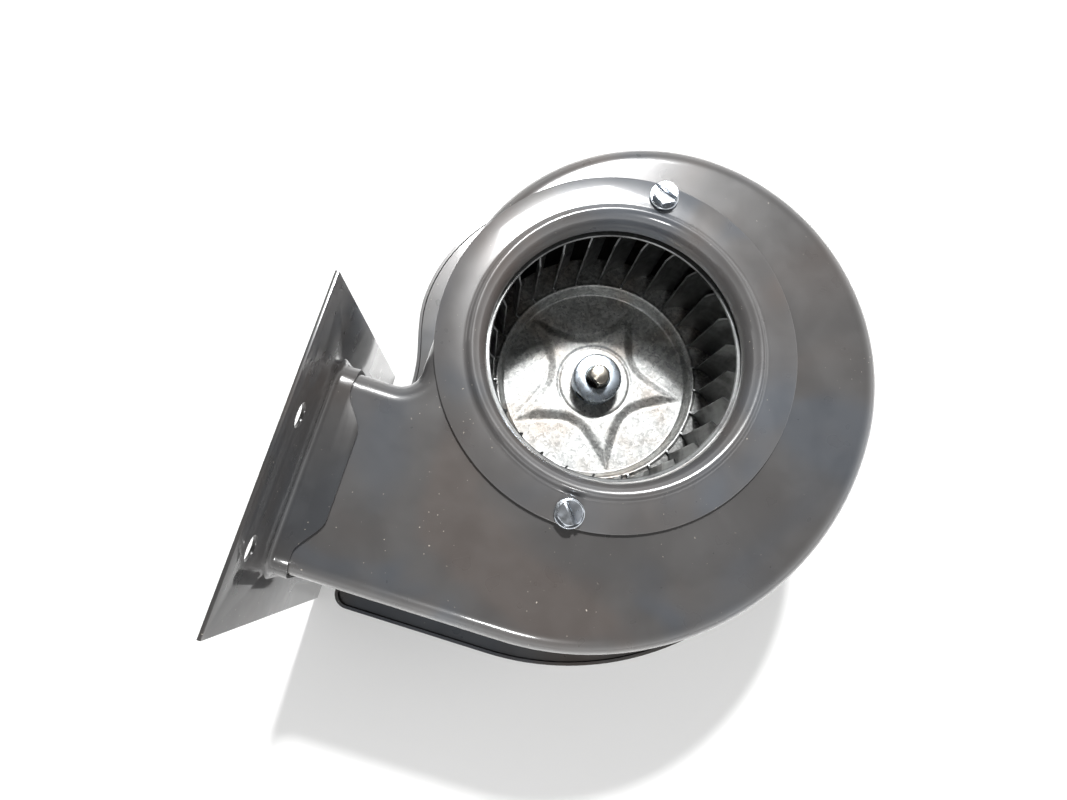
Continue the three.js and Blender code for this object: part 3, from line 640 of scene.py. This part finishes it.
lower_radius = -duct_bottom - scroll_drop
right_radius = reach_top + scroll_drop
lower_centre = (reach_right - lower_radius, -scroll_drop)
right_centre = (reach_right - right_radius, -scroll_drop)
top_centre = (right_centre[0], reach_top - reach_left - right_centre[0])


def draw_scroll(bm, end, height):
    first = start_at(bm, lower_centre[0], duct_bottom, height)
    last = swing(bm, first, *lower_centre, 90, lower_steps)
    last = swing(bm, last, *right_centre, 90, right_steps)
    last = swing(bm, last, *top_centre, 90, top_steps)
    turn_at = (-reach_left - cutoff_radius, duct_top + cutoff_radius)
    last = line_to(bm, last, -reach_left, turn_at[1])
    last = swing(bm, last, *turn_at, -90, cutoff_steps)
    last = line_to(bm, last, end, duct_top)
    last = line_to(bm, last, end, duct_bottom)
    close_loop(bm, last, first)


def draw_rim(bm, first, last_point, width):
    """From a point on the duct's upper wall, clockwise round the scroll to the lower wall."""
    left = -reach_left - width
    widest = left - rim_bulge
    neck = left + rim_neck
    neck_top = duct_top + neck_height
    top = reach_top + width
    last = first
    for x, y in curve((neck, neck_top), (neck, neck_top + bulge_ease),
                      (widest, bulge_height - bulge_ease), (widest, bulge_height), 20):
        last = line_to(bm, last, x, y)
    for step in range(1, bulge_steps + 1):
        angle = radians(90 * step / bulge_steps)
        last = line_to(bm, last, right_centre[0] + (widest - right_centre[0]) * cos(angle),
                       bulge_height + (top - bulge_height) * sin(angle))
    last = swing(bm, last, *right_centre, -90, right_steps)
    last = swing(bm, last, *lower_centre, -90, lower_steps)
    bottom = duct_bottom - width
    last = line_to(bm, last, left + rim_corner, bottom)
    last = swing(bm, last, left + rim_corner, bottom + rim_corner, -90, 8)
    close_loop(bm, last, last_point)


print("scroll reaches", [round(v / mm, 1) for v in (reach_left, reach_right, reach_top)])

# %% [markdown]
# The front shell is one deep pressing: a flat face, a rounded edge all the way round and a
# straight wall. The outline is filled and pulled up, and the face is then inset in small
# steps that each move in and up along a quarter circle, which makes the rounded edge follow
# every curve of the outline. A last flat inset keeps the face's shading true.

# %% Front shell
face_low = shell_back + sheet
opening_radius = wheel_radius + 2.2 * mm
inner_rim = rim_width - sheet - gap
rim_left = -reach_left - inner_rim
touching = 0.01 * mm
spare_length = 30 * mm
last_inset = 0.8 * mm
round_steps = 10
screw_hole = 2.7 * mm


def rim_start(vert):
    """Where the rim meets the duct, which is nearer the wheel on the upper wall."""
    return rim_left + (rim_neck if abs(vert.co.y - duct_top) < touching else 0)


bm = bmesh.new()
draw_scroll(bm, duct_end - spare_length, face_low)
bmesh.ops.contextual_create(bm, geom=bm.edges[:])
bm.faces.ensure_lookup_table()
base = bm.faces[0]
if base.normal.z < 0:
    base.normal_flip()
lifted = bmesh.ops.extrude_face_region(bm, geom=[base])["geom"]
shift(bm, verts_in(lifted), z=-edge_radius - face_low)
face = next(f for f in lifted if isinstance(f, bmesh.types.BMFace))
if face.normal.z < 0:
    face.normal_flip()
for step in range(round_steps):
    here, there = (radians(90 * s / round_steps) for s in (step, step + 1))
    bmesh.ops.inset_region(bm, faces=[face], use_boundary=True, use_even_offset=True,
                           thickness=edge_radius * (cos(here) - cos(there)),
                           depth=edge_radius * (sin(there) - sin(here)))
bmesh.ops.inset_region(bm, faces=[face], use_boundary=True, use_even_offset=True,
                       thickness=last_inset, depth=0)
flat_faces = [f for f in bm.faces if abs(f.normal.z) > 0.999 and len(f.verts) > 20]
bmesh.ops.delete(bm, geom=flat_faces, context="FACES_ONLY")
for cut_at in (duct_end, rim_left, rim_left + rim_neck):
    bmesh.ops.bisect_plane(bm, geom=everything(bm), dist=cut_tolerance, plane_co=(cut_at, 0, 0),
                           plane_no=(-1, 0, 0), clear_outer=cut_at == duct_end)


def at_height(edge, height):
    return all(abs(vert.co.z - height) < touching for vert in edge.verts)


def round_the_top(edge):
    return at_height(edge, 0) and max(vert.co.x for vert in edge.verts) > duct_end + touching


top_edges = open_edges(bm, round_the_top)
ends = [v for v in {v for e in top_edges for v in e.verts}
        if sum(e in top_edges for e in v.link_edges) == 1]
top_edges += bmesh.ops.contextual_create(bm, geom=ends)["edges"]
fill_flat(bm, top_edges + disc_edges(bm, opening_radius, 0, 0, 0, 96))

low_edges = open_edges(bm, lambda e: at_height(e, face_low) and
                       all(v.co.x >= rim_start(v) - cut_tolerance for v in e.verts))
corners = {side: min((v for e in low_edges for v in e.verts),
                     key=lambda v: abs(v.co.x - rim_start(v)) + abs(v.co.y - side))
           for side in (duct_top, duct_bottom)}
before = set(bm.edges)
draw_rim(bm, corners[duct_top], corners[duct_bottom], inner_rim)
fill_flat(bm, low_edges + [e for e in bm.edges if e not in before])

skirt = open_edges(bm, lambda e: at_height(e, face_low) and
                   all(v.co.x <= rim_start(v) + cut_tolerance for v in e.verts) and
                   min(abs(e.verts[0].co.y - y) + abs(e.verts[1].co.y - y)
                       for y in (duct_top, duct_bottom)) < touching)
pulled = bmesh.ops.extrude_edge_only(bm, edges=skirt)["geom"]
shift(bm, verts_in(pulled), z=-sheet)

screw_y = middle("inlet_screw_1").y
cutters = []
for side in (1, -1):
    drill = bmesh.new()
    round_bar(drill, screw_hole, 4 * mm, Matrix.Translation((0, side * screw_y, -sheet / 2)))
    cutters.append(cutter_from(drill))
piece_from(bm, "scroll_shell", "housing", ["front_shell"], housing_enamel,
           toward=(0, 0, 1), wall=sheet, cutters=cutters, crease=30)

# %% [markdown]
# The rear plate closes the back. Its edge is folded up round the rim of the shell, and stops
# at the duct, where a straight tab of the same plate makes the duct's floor. The motor's
# boss comes through the round window in the middle, between two screw holes.

# %% Rear plate
plate_back = plate_low.z
lip_top = plate_high.z
plate_left = -reach_left - rim_width
window_radius = 13.0 * mm
fold_radius = 1.4 * mm
motor_screw_x = middle("motor_screw_1").x

bm = bmesh.new()
first = start_at(bm, plate_left + rim_neck, duct_top, plate_back)
foot = start_at(bm, plate_left, duct_bottom, plate_back)
draw_rim(bm, first, foot, rim_width)
lip_edges = bm.edges[:]
last = line_to(bm, first, duct_end, duct_top)
last = line_to(bm, last, duct_end, duct_bottom)
close_loop(bm, last, foot)
outline = bm.edges[:]
fill_flat(bm, outline + disc_edges(bm, window_radius, 0, 0, plate_back, 64)
          + disc_edges(bm, screw_hole, motor_screw_x, 0, plate_back, 24)
          + disc_edges(bm, screw_hole, -motor_screw_x, 0, plate_back, 24))
pulled = bmesh.ops.extrude_edge_only(bm, edges=lip_edges)["geom"]
shift(bm, verts_in(pulled), z=lip_top - plate_back)
folds = [e for e in lip_edges if e.is_valid and len(e.link_faces) == 2]
bmesh.ops.bevel(bm, geom=folds, offset=fold_radius, offset_type="OFFSET", segments=4,
                profile=0.5, affect="EDGES", material=-1, clamp_overlap=False)
piece_from(bm, "back_plate", "housing", ["rear_plate"], housing_enamel,
           toward=(0, 0, -1), wall=sheet, crease=30)

# %% [markdown]
# The inlet ring is turned: a flat that lies on the shell, a quick rise to a rounded bead, and a
# long easy curve down into the throat that leads the air into the wheel. Its half section
# is drawn once, with both sides of the sheet, and spun round the shaft.

# %% Inlet ring
ring_radius = span("inlet_ring")[1].x
ring_crest = span("inlet_ring")[1].z
throat_bottom = span("inlet_ring")[0].z
ring_top = gap + sheet
throat_radius = 44.0 * mm
bead_radius = 48.9 * mm
bead_run = 2.7 * mm
crest_ease = 2.45 * mm
throat_ease = 1 * mm
cut_edge = 0.25 * mm
cut_corner = 0.08 * mm


def sheet_section(points, thickness):
    back = []
    for i, (x, z) in enumerate(points):
        (x0, z0), (x1, z1) = points[max(i - 1, 0)], points[min(i + 1, len(points) - 1)]
        length = hypot(x1 - x0, z1 - z0)
        back.append((x - (z1 - z0) / length * thickness, z + (x1 - x0) / length * thickness))
    return points + back[::-1] + points[:1]


rise = curve((bead_radius + bead_run, ring_top), (bead_radius + bead_run / 2, ring_top),
             (bead_radius + bead_run / 2, ring_crest), (bead_radius, ring_crest), 10)
fall = curve((bead_radius, ring_crest), (bead_radius - crest_ease, ring_crest),
             (throat_radius, ring_top - throat_ease), (throat_radius, throat_bottom), 20)
flat = [(ring_radius, ring_top - cut_edge), (ring_radius - cut_corner, ring_top - cut_corner),
        (ring_radius - cut_edge, ring_top), (bead_radius + bead_run + 0.5 * mm, ring_top)]
bm = bmesh.new()
turned(bm, sheet_section(flat + rise + fall[1:], sheet), 180)
# The inlet ring gets the lighter enamel copy, which is painted light.
piece_from(bm, "bell_mouth", "housing", ["inlet_ring"], lit_inlet_enamel, crease=40)

# %% [markdown]
# Two screws hold the ring: hexagon heads on a round washer, with a slot for a screwdriver. The
# hexagon's corners are rounded off toward the top, which is done by cutting it with the
# inside of a shallow turned cap. The slots stand at the angles where they were left.

# %% Inlet screws
def inlet_screw(name, slot_angle):
    low, high = span(name)
    x, y = middle(name).x, middle(name).y
    washer_radius = (high.x - low.x) / 2
    seat = ring_top + gap
    hex_radius = 4.6 * mm
    shank_radius = 2.4 * mm
    washer_high = 1.0 * mm
    cap_radius, top_radius = 5.3 * mm, 3.9 * mm
    slot_size = (12 * mm, 1.3 * mm, 3 * mm)
    spare_height = 1 * mm
    sunk = 0.05 * mm
    here = Matrix.Translation((x, y, 0))

    cap = bmesh.new()
    turned(cap, [(0, seat), (cap_radius, seat), (cap_radius, high.z - 1.5 * mm),
                 (top_radius + 0.4 * mm, high.z - 0.3 * mm), (top_radius, high.z),
                 (0, high.z)], 48)
    bmesh.ops.remove_doubles(cap, verts=cap.verts, dist=merge_distance)
    shift(cap, cap.verts, x, y)
    slot = bmesh.new()
    brick(slot, slot_size,
          here @ Matrix.Translation((0, 0, high.z)) @ Matrix.Rotation(radians(slot_angle), 4, "Z"))
    block = bmesh.new()
    head_low, block_high = seat + washer_high - sunk, high.z + spare_height
    round_bar(block, hex_radius, block_high - head_low,
              here @ Matrix.Translation((0, 0, (block_high + head_low) / 2)), 6)
    bmesh.ops.translate(block, verts=block.verts, vec=fan)
    head = as_object(block, "screw_head")
    common = head.modifiers.new("Corners", "BOOLEAN")
    common.operation = "INTERSECT"
    common.solver = "EXACT"
    corners = cutter_from(cap)
    common.object = corners
    carve(head, [cutter_from(slot)])
    bpy.data.objects.remove(corners)

    bm = bmesh.new()
    bm.from_mesh(head.data)
    bpy.data.objects.remove(head)
    bmesh.ops.translate(bm, verts=bm.verts, vec=-fan)
    washer = bmesh.new()
    turned(washer, [(0, low.z), (shank_radius, low.z), (shank_radius, seat),
                    (washer_radius - 0.15 * mm, seat), (washer_radius, seat + 0.15 * mm),
                    (washer_radius, seat + washer_high - 0.3 * mm),
                    (washer_radius - 0.3 * mm, seat + washer_high), (0, seat + washer_high)], 48)
    shift(washer, washer.verts, x, y)
    loose = bpy.data.meshes.new("washer")
    washer.to_mesh(loose)
    bm.from_mesh(loose)
    piece_from(bm, name + "_head", "housing", [name], zinc_plate,
               edge=0.12 * mm, crease=28)


inlet_screw("inlet_screw_1", -19)
inlet_screw("inlet_screw_2", -49)

# %% [markdown]
# The outlet flange is a stiff plate with four bolt holes and a window for the duct. A collar is
# folded out of the plate round the duct, and a tongue on its front lies on the shell. The
# plate is one flat piece. The collar is a second sheet: a row of duct sections that shrink as
# they leave the plate are bridged into the rounded fold, the last one is pulled on along the
# duct, and the tongue goes on from its front edge. The fold starts just inside the plate.

# %% Outlet flange
flange_low, flange_high = span("outlet_flange")
flange_sheet = 1.2 * mm
outlet_face = flange_low.x
flange_back = outlet_face + flange_sheet
collar_length = 6.2 * mm
collar_fold = 2.0 * mm
hole_radius = 4.0 * mm
hole_inset = 14.7 * mm
hole_spacing = 40 * mm
hole_middle = duct_middle - 7.25 * mm
corner_steps = 8


def duct_loop(bm, x, grow, marks=()):
    """Draws the duct's section, square behind and rounded in front. Returns how to stand it up."""
    low, high = duct_bottom - grow, duct_top + grow
    radius = edge_radius + grow
    back = plate_back - grow
    first = start_at(bm, low, back)
    last = line_to(bm, first, high, back)
    last = line_to(bm, last, high, grow - radius)
    last = swing(bm, last, high - radius, grow - radius, 90, corner_steps)
    for mark in marks:
        last = line_to(bm, last, mark, grow)
    last = line_to(bm, last, low + radius, grow)
    last = swing(bm, last, low + radius, grow - radius, 90, corner_steps)
    close_loop(bm, last, first)
    return Matrix(((0, 0, 1, x), (1, 0, 0, 0), (0, 1, 0, 0), (0, 0, 0, 1)))


bm = bmesh.new()
lay = duct_loop(bm, flange_back, gap)
corners = [(flange_low.y, flange_low.z), (flange_high.y, flange_low.z),
           (flange_high.y, flange_high.z), (flange_low.y, flange_high.z)]
first = last = start_at(bm, *corners[0])
for corner in corners[1:]:
    last = line_to(bm, last, *corner)
close_loop(bm, last, first)
for height in (flange_high.z - hole_inset, flange_low.z + hole_inset):
    for side in (-1, 1):
        disc_edges(bm, hole_radius, hole_middle + side * hole_spacing / 2, height, 0, 32)
fill_flat(bm, bm.edges[:])
bmesh.ops.transform(bm, matrix=lay, verts=bm.verts)
face_outward(bm, (1, 0, 0))
thick_plate = bmesh.ops.extrude_face_region(bm, geom=bm.faces[:])["geom"]
shift(bm, verts_in(thick_plate), x=-flange_sheet)
bmesh.ops.recalc_face_normals(bm, faces=bm.faces)
plate = bpy.data.meshes.new("plate")
bm.to_mesh(plate)
bm.free()

tongue_tip = flange_high.x
tongue_half = 27 * mm
tongue_ease = 3.7 * mm
tip_ease = 8.5 * mm
tip_start = 13 * mm
shoulder = flange_back + collar_length
skin = gap + sheet
into_plate = 0.02 * mm
marks = (duct_middle + tongue_half, duct_middle - tongue_half)
fold_steps = [(0.0, 1.0), (0.1, 0.62), (0.35, 0.3), (0.65, 0.1), (1.0, 0.0)]
bm = bmesh.new()
loops = []
for along, out in fold_steps:
    made = bmesh.new()
    lay = duct_loop(made, flange_back - into_plate + along * collar_fold,
                    skin + out * collar_fold, marks)
    bmesh.ops.transform(made, matrix=lay, verts=made.verts)
    shape = bpy.data.meshes.new("loop")
    made.to_mesh(shape)
    made.free()
    known = set(bm.edges)
    bm.from_mesh(shape)
    loops.append([e for e in bm.edges if e not in known])
for a, b in zip(loops, loops[1:]):
    bmesh.ops.bridge_loops(bm, edges=a + b)
end = bmesh.ops.extrude_edge_only(bm, edges=loops[-1])["geom"]
end_verts = verts_in(end)
shift(bm, end_verts, x=collar_length - collar_fold + into_plate)

foot_a, foot_b = (min(end_verts, key=lambda v: abs(v.co.y - mark) + abs(v.co.z - skin))
                  for mark in marks)
foot_edge = next(e for e in foot_a.link_edges if e.other_vert(foot_a) is foot_b)
side = curve((shoulder, tongue_half), (shoulder, tongue_half - tongue_ease),
             (tongue_tip, tongue_half - tip_ease), (tongue_tip, tongue_half - tip_start), 16)[1:]
known = set(bm.edges)
last = foot_a
for x, y in side + [(x, -y) for x, y in side[::-1]]:
    last = line_to(bm, last, x, duct_middle + y)
close_loop(bm, last, foot_b)
bmesh.ops.contextual_create(bm, geom=[foot_edge] + [e for e in bm.edges if e not in known])
bmesh.ops.recalc_face_normals(bm, faces=bm.faces)
face_outward(bm, (0, 0, 1))
collar = as_object(bm, "collar")
thicken(collar, sheet)

bm = bmesh.new()
for part in (plate, collar.data):
    bm.from_mesh(part)
bpy.data.objects.remove(collar)
# The flange gets the darker enamel copy, which is painted shade.
piece_from(bm, "flange", "housing", ["outlet_flange"], shaded_flange_enamel,
           edge=0.2 * mm, crease=26)

# %% [markdown]
# The blower wheel is a cage: a thin front ring, a back plate, and forward-curved blades
# between them. The front ring is a flat washer with a short skirt turned down at its edge.

# %% Wheel front ring
wheel_sheet = 0.9 * mm
wheel_lip = 3.0 * mm
wheel_inner = 42.8 * mm
ring_low, ring_high = span("wheel_front_ring")
front = ring_high.z
bm = bmesh.new()
turned(bm, [(wheel_inner, front - wheel_sheet), (wheel_inner, front - 0.3 * mm),
            (wheel_inner + 0.3 * mm, front), (wheel_radius - 0.8 * mm, front),
            (wheel_radius - 0.25 * mm, front - 0.25 * mm), (wheel_radius, front - 0.8 * mm),
            (wheel_radius, ring_low.z), (wheel_radius - wheel_sheet, ring_low.z),
            (wheel_radius - wheel_sheet, front - wheel_sheet),
            (wheel_inner, front - wheel_sheet)], 160)
piece_from(bm, "wheel_ring", "wheel", ["wheel_front_ring"], blade_steel, crease=35)

# %% [markdown]
# A blade is a strip curved across its width, cut back at a slant at its front inner corner so
# that it clears the throat. A small tab at its foot is clinched over the back plate. One is
# drawn at a time and turned to its place.

# %% Blades
blade_nodes = sorted(n for n in frame["nodes"] if n.startswith("blade_"))
blade_low = min(span(n)[0].z for n in blade_nodes)
blade_high = max(span(n)[1].z for n in blade_nodes)
blade_inner = 41.0 * mm
blade_sheet = 0.7 * mm
blade_tip = wheel_radius - wheel_sheet - gap - blade_sheet
blade_hollow = 1.5 * mm
blade_steps = 10
slant_drop = 5 * mm
tab_size = (2.0 * mm, 0.9 * mm, 1.1 * mm)
tab_inset = 0.6 * mm
first_blade = 91
sweep = radians(-11)
root = Vector((blade_inner, 0, 0))
tip = Vector((blade_tip * cos(sweep), blade_tip * sin(sweep), 0))
hollow = 2 * blade_hollow * Vector((-(tip - root).y, (tip - root).x, 0)).normalized()


def draw_blade():
    bm = bmesh.new()
    bend = (root + tip) / 2 + hollow
    across = [(root * (1 - t) + bend * t) * (1 - t) + (bend * (1 - t) + tip * t) * t
              for t in (i / blade_steps for i in range(blade_steps + 1))]
    last = start_at(bm, across[0].x, across[0].y, blade_low)
    for point in across[1:]:
        last = line_to(bm, last, point.x, point.y)
    long = bmesh.ops.extrude_edge_only(bm, edges=bm.edges[:])["geom"]
    shift(bm, verts_in(long), z=blade_high - blade_low)
    corner = Vector((blade_inner - 0.4 * mm, 0, blade_high - slant_drop))
    to_ring = Vector((wheel_inner + 0.9 * mm, 0, blade_high - 0.6 * mm)) - corner
    bmesh.ops.bisect_plane(bm, geom=everything(bm), dist=cut_tolerance,
                           plane_co=corner, plane_no=(-to_ring.z, 0, to_ring.x),
                           clear_outer=True)
    bmesh.ops.recalc_face_normals(bm, faces=bm.faces)
    face_outward(bm, (0, 1, 0))
    bmesh.ops.solidify(bm, geom=bm.faces[:], thickness=-blade_sheet)
    bmesh.ops.recalc_face_normals(bm, faces=bm.faces)
    brick(bm, tab_size, Matrix.Translation(
        (blade_inner - tab_inset, blade_sheet / 2, blade_low + tab_inset)))
    return bm


for node in blade_nodes:
    turn = radians(first_blade - (int(node[-2:]) - 1) * 360 / len(blade_nodes))
    bm = draw_blade()
    bmesh.ops.rotate(bm, verts=bm.verts, cent=(0, 0, 0), matrix=Matrix.Rotation(turn, 3, "Z"))
    piece_from(bm, node + "_strip", "wheel", [node], blade_steel,
               edge=0.12 * mm, crease=30)

# %% [markdown]
# The back plate is dished in the middle and pressed into a five-armed star that stiffens it,
# with a groove round the hub. The plate is spun from its half section as a fine grid, and
# the star is then raised by moving the grid's points: the height depends on how far a point
# is from the star's outline, with a small crease just outside it, as a press leaves.

# %% Wheel back plate
disc_high = span("wheel_back_plate")[1]
rim_bead = 0.6 * mm
annulus = disc_high.z - rim_bead
dish_rim = 39.6 * mm
dish_radius = 36.3 * mm
dish_floor = annulus - 5.3 * mm
star_height, star_slope, slope_start = 1.0 * mm, 4.0 * mm, 0.8 * mm
crease_depth, crease_width, crease_off = 0.12 * mm, 0.6 * mm, 0.9 * mm
groove_depth, groove_width, groove_radius = 0.55 * mm, 0.45 * mm, 14.52 * mm
hole_edge = 8.2 * mm
arms = 5
arm_points = 90
first_arm = radians(6.6)
arm_step = 2 * pi / arms
star_tip = dish_radius - 1.3 * mm
star_waist = groove_radius + 4 * mm
waist_ease = 5 * mm
tip_turn, waist_turn = 0.20, 0.40
dish_rings = 56


def around(radius, angle):
    return Vector((radius * cos(angle), radius * sin(angle), 0))


def bell(distance, width):
    return exp(-(distance / width) ** 2)


outline = []
for arm in range(arms):
    for side in (1, -1):
        arm_at = first_arm + (arm if side == 1 else arm + 1) * arm_step
        outline += interpolate_bezier(
            around(star_tip, arm_at), around(star_waist + waist_ease, arm_at + side * tip_turn),
            around(star_waist, arm_at + side * waist_turn),
            around(star_waist, arm_at + side * arm_step / 2), arm_points)
near_outline = KDTree(len(outline))
for i, point in enumerate(outline):
    near_outline.insert(point, i)
near_outline.balance()
edge_by_angle = sorted((abs((atan2(p.y, p.x) - first_arm + arm_step / 2) % arm_step
                            - arm_step / 2), hypot(p.x, p.y)) for p in outline)


def inside_star(radius, angle):
    off = abs((angle - first_arm + arm_step / 2) % arm_step - arm_step / 2)
    return radius < min(edge_by_angle, key=lambda pair: abs(pair[0] - off))[1]


def smooth(value):
    value = min(max(value, 0.0), 1.0)
    return value * value * (3 - 2 * value)


section = [(hole_edge + i * (dish_radius - hole_edge) / dish_rings, dish_floor)
           for i in range(dish_rings + 1)]
section += curve((dish_radius + 0.3 * mm, dish_floor), (dish_radius + 1.2 * mm, dish_floor),
                 (dish_rim - 1.8 * mm, annulus), (dish_rim - 0.5 * mm, disc_high.z - 0.05 * mm), 10)
section += [(dish_rim, disc_high.z), (dish_rim + 0.5 * mm, annulus + 0.15 * mm),
            (dish_rim + 1.0 * mm, annulus), (wheel_radius - 0.6 * mm, annulus),
            (wheel_radius - 0.15 * mm, annulus - 0.2 * mm), (wheel_radius, annulus - 0.7 * mm),
            (wheel_radius, annulus - wheel_lip)]
bm = bmesh.new()
turned(bm, section, 320)
bmesh.ops.remove_doubles(bm, verts=bm.verts, dist=merge_distance)
for vert in bm.verts:
    radius = hypot(vert.co.x, vert.co.y)
    if radius > dish_radius + 0.1 * mm:
        continue
    angle = atan2(vert.co.y, vert.co.x)
    away = near_outline.find((vert.co.x, vert.co.y, 0))[2]
    inner = away if inside_star(radius, angle) else -away
    vert.co.z += (star_height * smooth((inner + slope_start) / star_slope)
                  - crease_depth * bell(inner + crease_off, crease_width)
                  - groove_depth * bell(radius - groove_radius, groove_width))
piece_from(bm, "wheel_dish", "wheel", ["wheel_back_plate"], galvanised,
           toward=(0, 0, 1), wall=wheel_sheet, crease=50)

# %% [markdown]
# The hub is a short turned collar with chamfered edges, gripped to the shaft by one set screw in
# its side. The shaft has a flat milled along it for that screw to press on, and a chamfered
# end. Both are turned, and then the hole and the flat are cut.

# %% Hub and shaft
hub_low, hub_high = span("wheel_hub")
hub_radius = hub_high.x
shaft_radius = 3.97 * mm
bore = shaft_radius + gap
spigot = hub_radius - 1.6 * mm
hub_rise = 1.4 * mm
hub_foot = dish_floor + hub_rise + gap
set_hole = 2.6 * mm
flat_depth = 1.07 * mm
spare_cut = 2 * mm
screw_angle = radians(-117)
set_height = middle("hub_set_screw").z

bm = bmesh.new()
turned(bm, [(bore, hub_low.z), (spigot, hub_low.z), (spigot, hub_foot),
            (hub_radius - 0.3 * mm, hub_foot), (hub_radius, hub_foot + 0.3 * mm),
            (hub_radius, hub_high.z - 0.9 * mm), (hub_radius - 0.25 * mm, hub_high.z - 0.35 * mm),
            (hub_radius - 0.9 * mm, hub_high.z), (bore + 0.7 * mm, hub_high.z),
            (bore, hub_high.z - 0.7 * mm), (bore, hub_low.z)], 72)
drill = bmesh.new()
round_bar(drill, set_hole, 8 * mm,
          Matrix.Rotation(screw_angle, 4, "Z") @ Matrix.Translation((hub_radius, 0, set_height))
          @ Matrix.Rotation(pi / 2, 4, "Y"), 32)
piece_from(bm, "hub_collar", "wheel", ["wheel_hub"], hub_zinc,
           cutters=[cutter_from(drill)], crease=32)

shaft_low, shaft_high = span("motor_shaft")
bm = bmesh.new()
turned(bm, [(0, shaft_low.z), (shaft_radius - 0.5 * mm, shaft_low.z),
            (shaft_radius, shaft_low.z + 0.5 * mm), (shaft_radius, shaft_high.z - 1.0 * mm),
            (shaft_radius - 0.3 * mm, shaft_high.z - 0.35 * mm),
            (shaft_radius - 1.0 * mm, shaft_high.z), (0, shaft_high.z)], 48)
mill = bmesh.new()
flat_at = shaft_radius - flat_depth
mill_high = shaft_high.z + spare_cut
brick(mill, (2 * spare_cut, 12 * mm, mill_high - hub_low.z),
      Matrix.Rotation(screw_angle, 4, "Z") @ Matrix.Translation(
          (flat_at + spare_cut, 0, (hub_low.z + mill_high) / 2)))
piece_from(bm, "shaft", "wheel", ["motor_shaft"], shaft_steel,
           cutters=[cutter_from(mill)], crease=28)

# %% [markdown]
# The motor's parts have the right shape already, but their edges are knife sharp. Each is taken
# as a copy of its solid: the loose triangles are merged, flat areas are joined into whole
# faces, and a small bevel softens the edges, as casting, stamping and winding do.

# %% Motor parts
motor_crease = 26
flat_within = radians(0.5)


def softened(node, body, finish, edge, segments):
    bm = bmesh.new()
    bm.from_mesh(frame["nodes"][node].data)
    bmesh.ops.remove_doubles(bm, verts=bm.verts, dist=merge_distance)
    bmesh.ops.dissolve_limit(bm, angle_limit=flat_within, verts=bm.verts, edges=bm.edges)
    piece = as_object(bm, node + "_part")
    round_edges(piece, edge, segments)
    dress(piece, body, [node], finish, motor_crease)


plated = ("terminal_1", "terminal_2", "through_bolt_1", "through_bolt_2", "motor_screw_1",
          "motor_screw_2")
for body, nodes, slot, finish, edge, segments in (
        ("housing", ("front_bracket", "rear_bracket"), "cast_zinc", cast_zinc, 0.6, 2),
        ("housing", ("front_bearing", "rear_bearing"), "bronze", bronze, 0.3, 2),
        ("housing", ("stator_core",), "lamination", lamination, 0.25, 2),
        ("housing", ("shading_ring_1", "shading_ring_2"), "copper", copper, 0.5, 3),
        ("housing", ("coil_bobbin",), "nylon", nylon, 0.35, 2),
        ("housing", ("coil_winding",), "coil_tape", coil_tape, 2.2, 4),
        ("housing", plated, "zinc_plate", zinc_plate, 0.2, 2),
        ("wheel", ("hub_set_screw",), "black_steel", black_steel, 0.15, 2),
        ("wheel", ("rotor_core",), "lamination", lamination, 0.3, 2),
        ("wheel", ("rotor_end_ring_front", "rotor_end_ring_rear"), "aluminium", aluminium, 0.5, 2)):
    for node in nodes:
        softened(node, body, finish, edge * mm, segments)
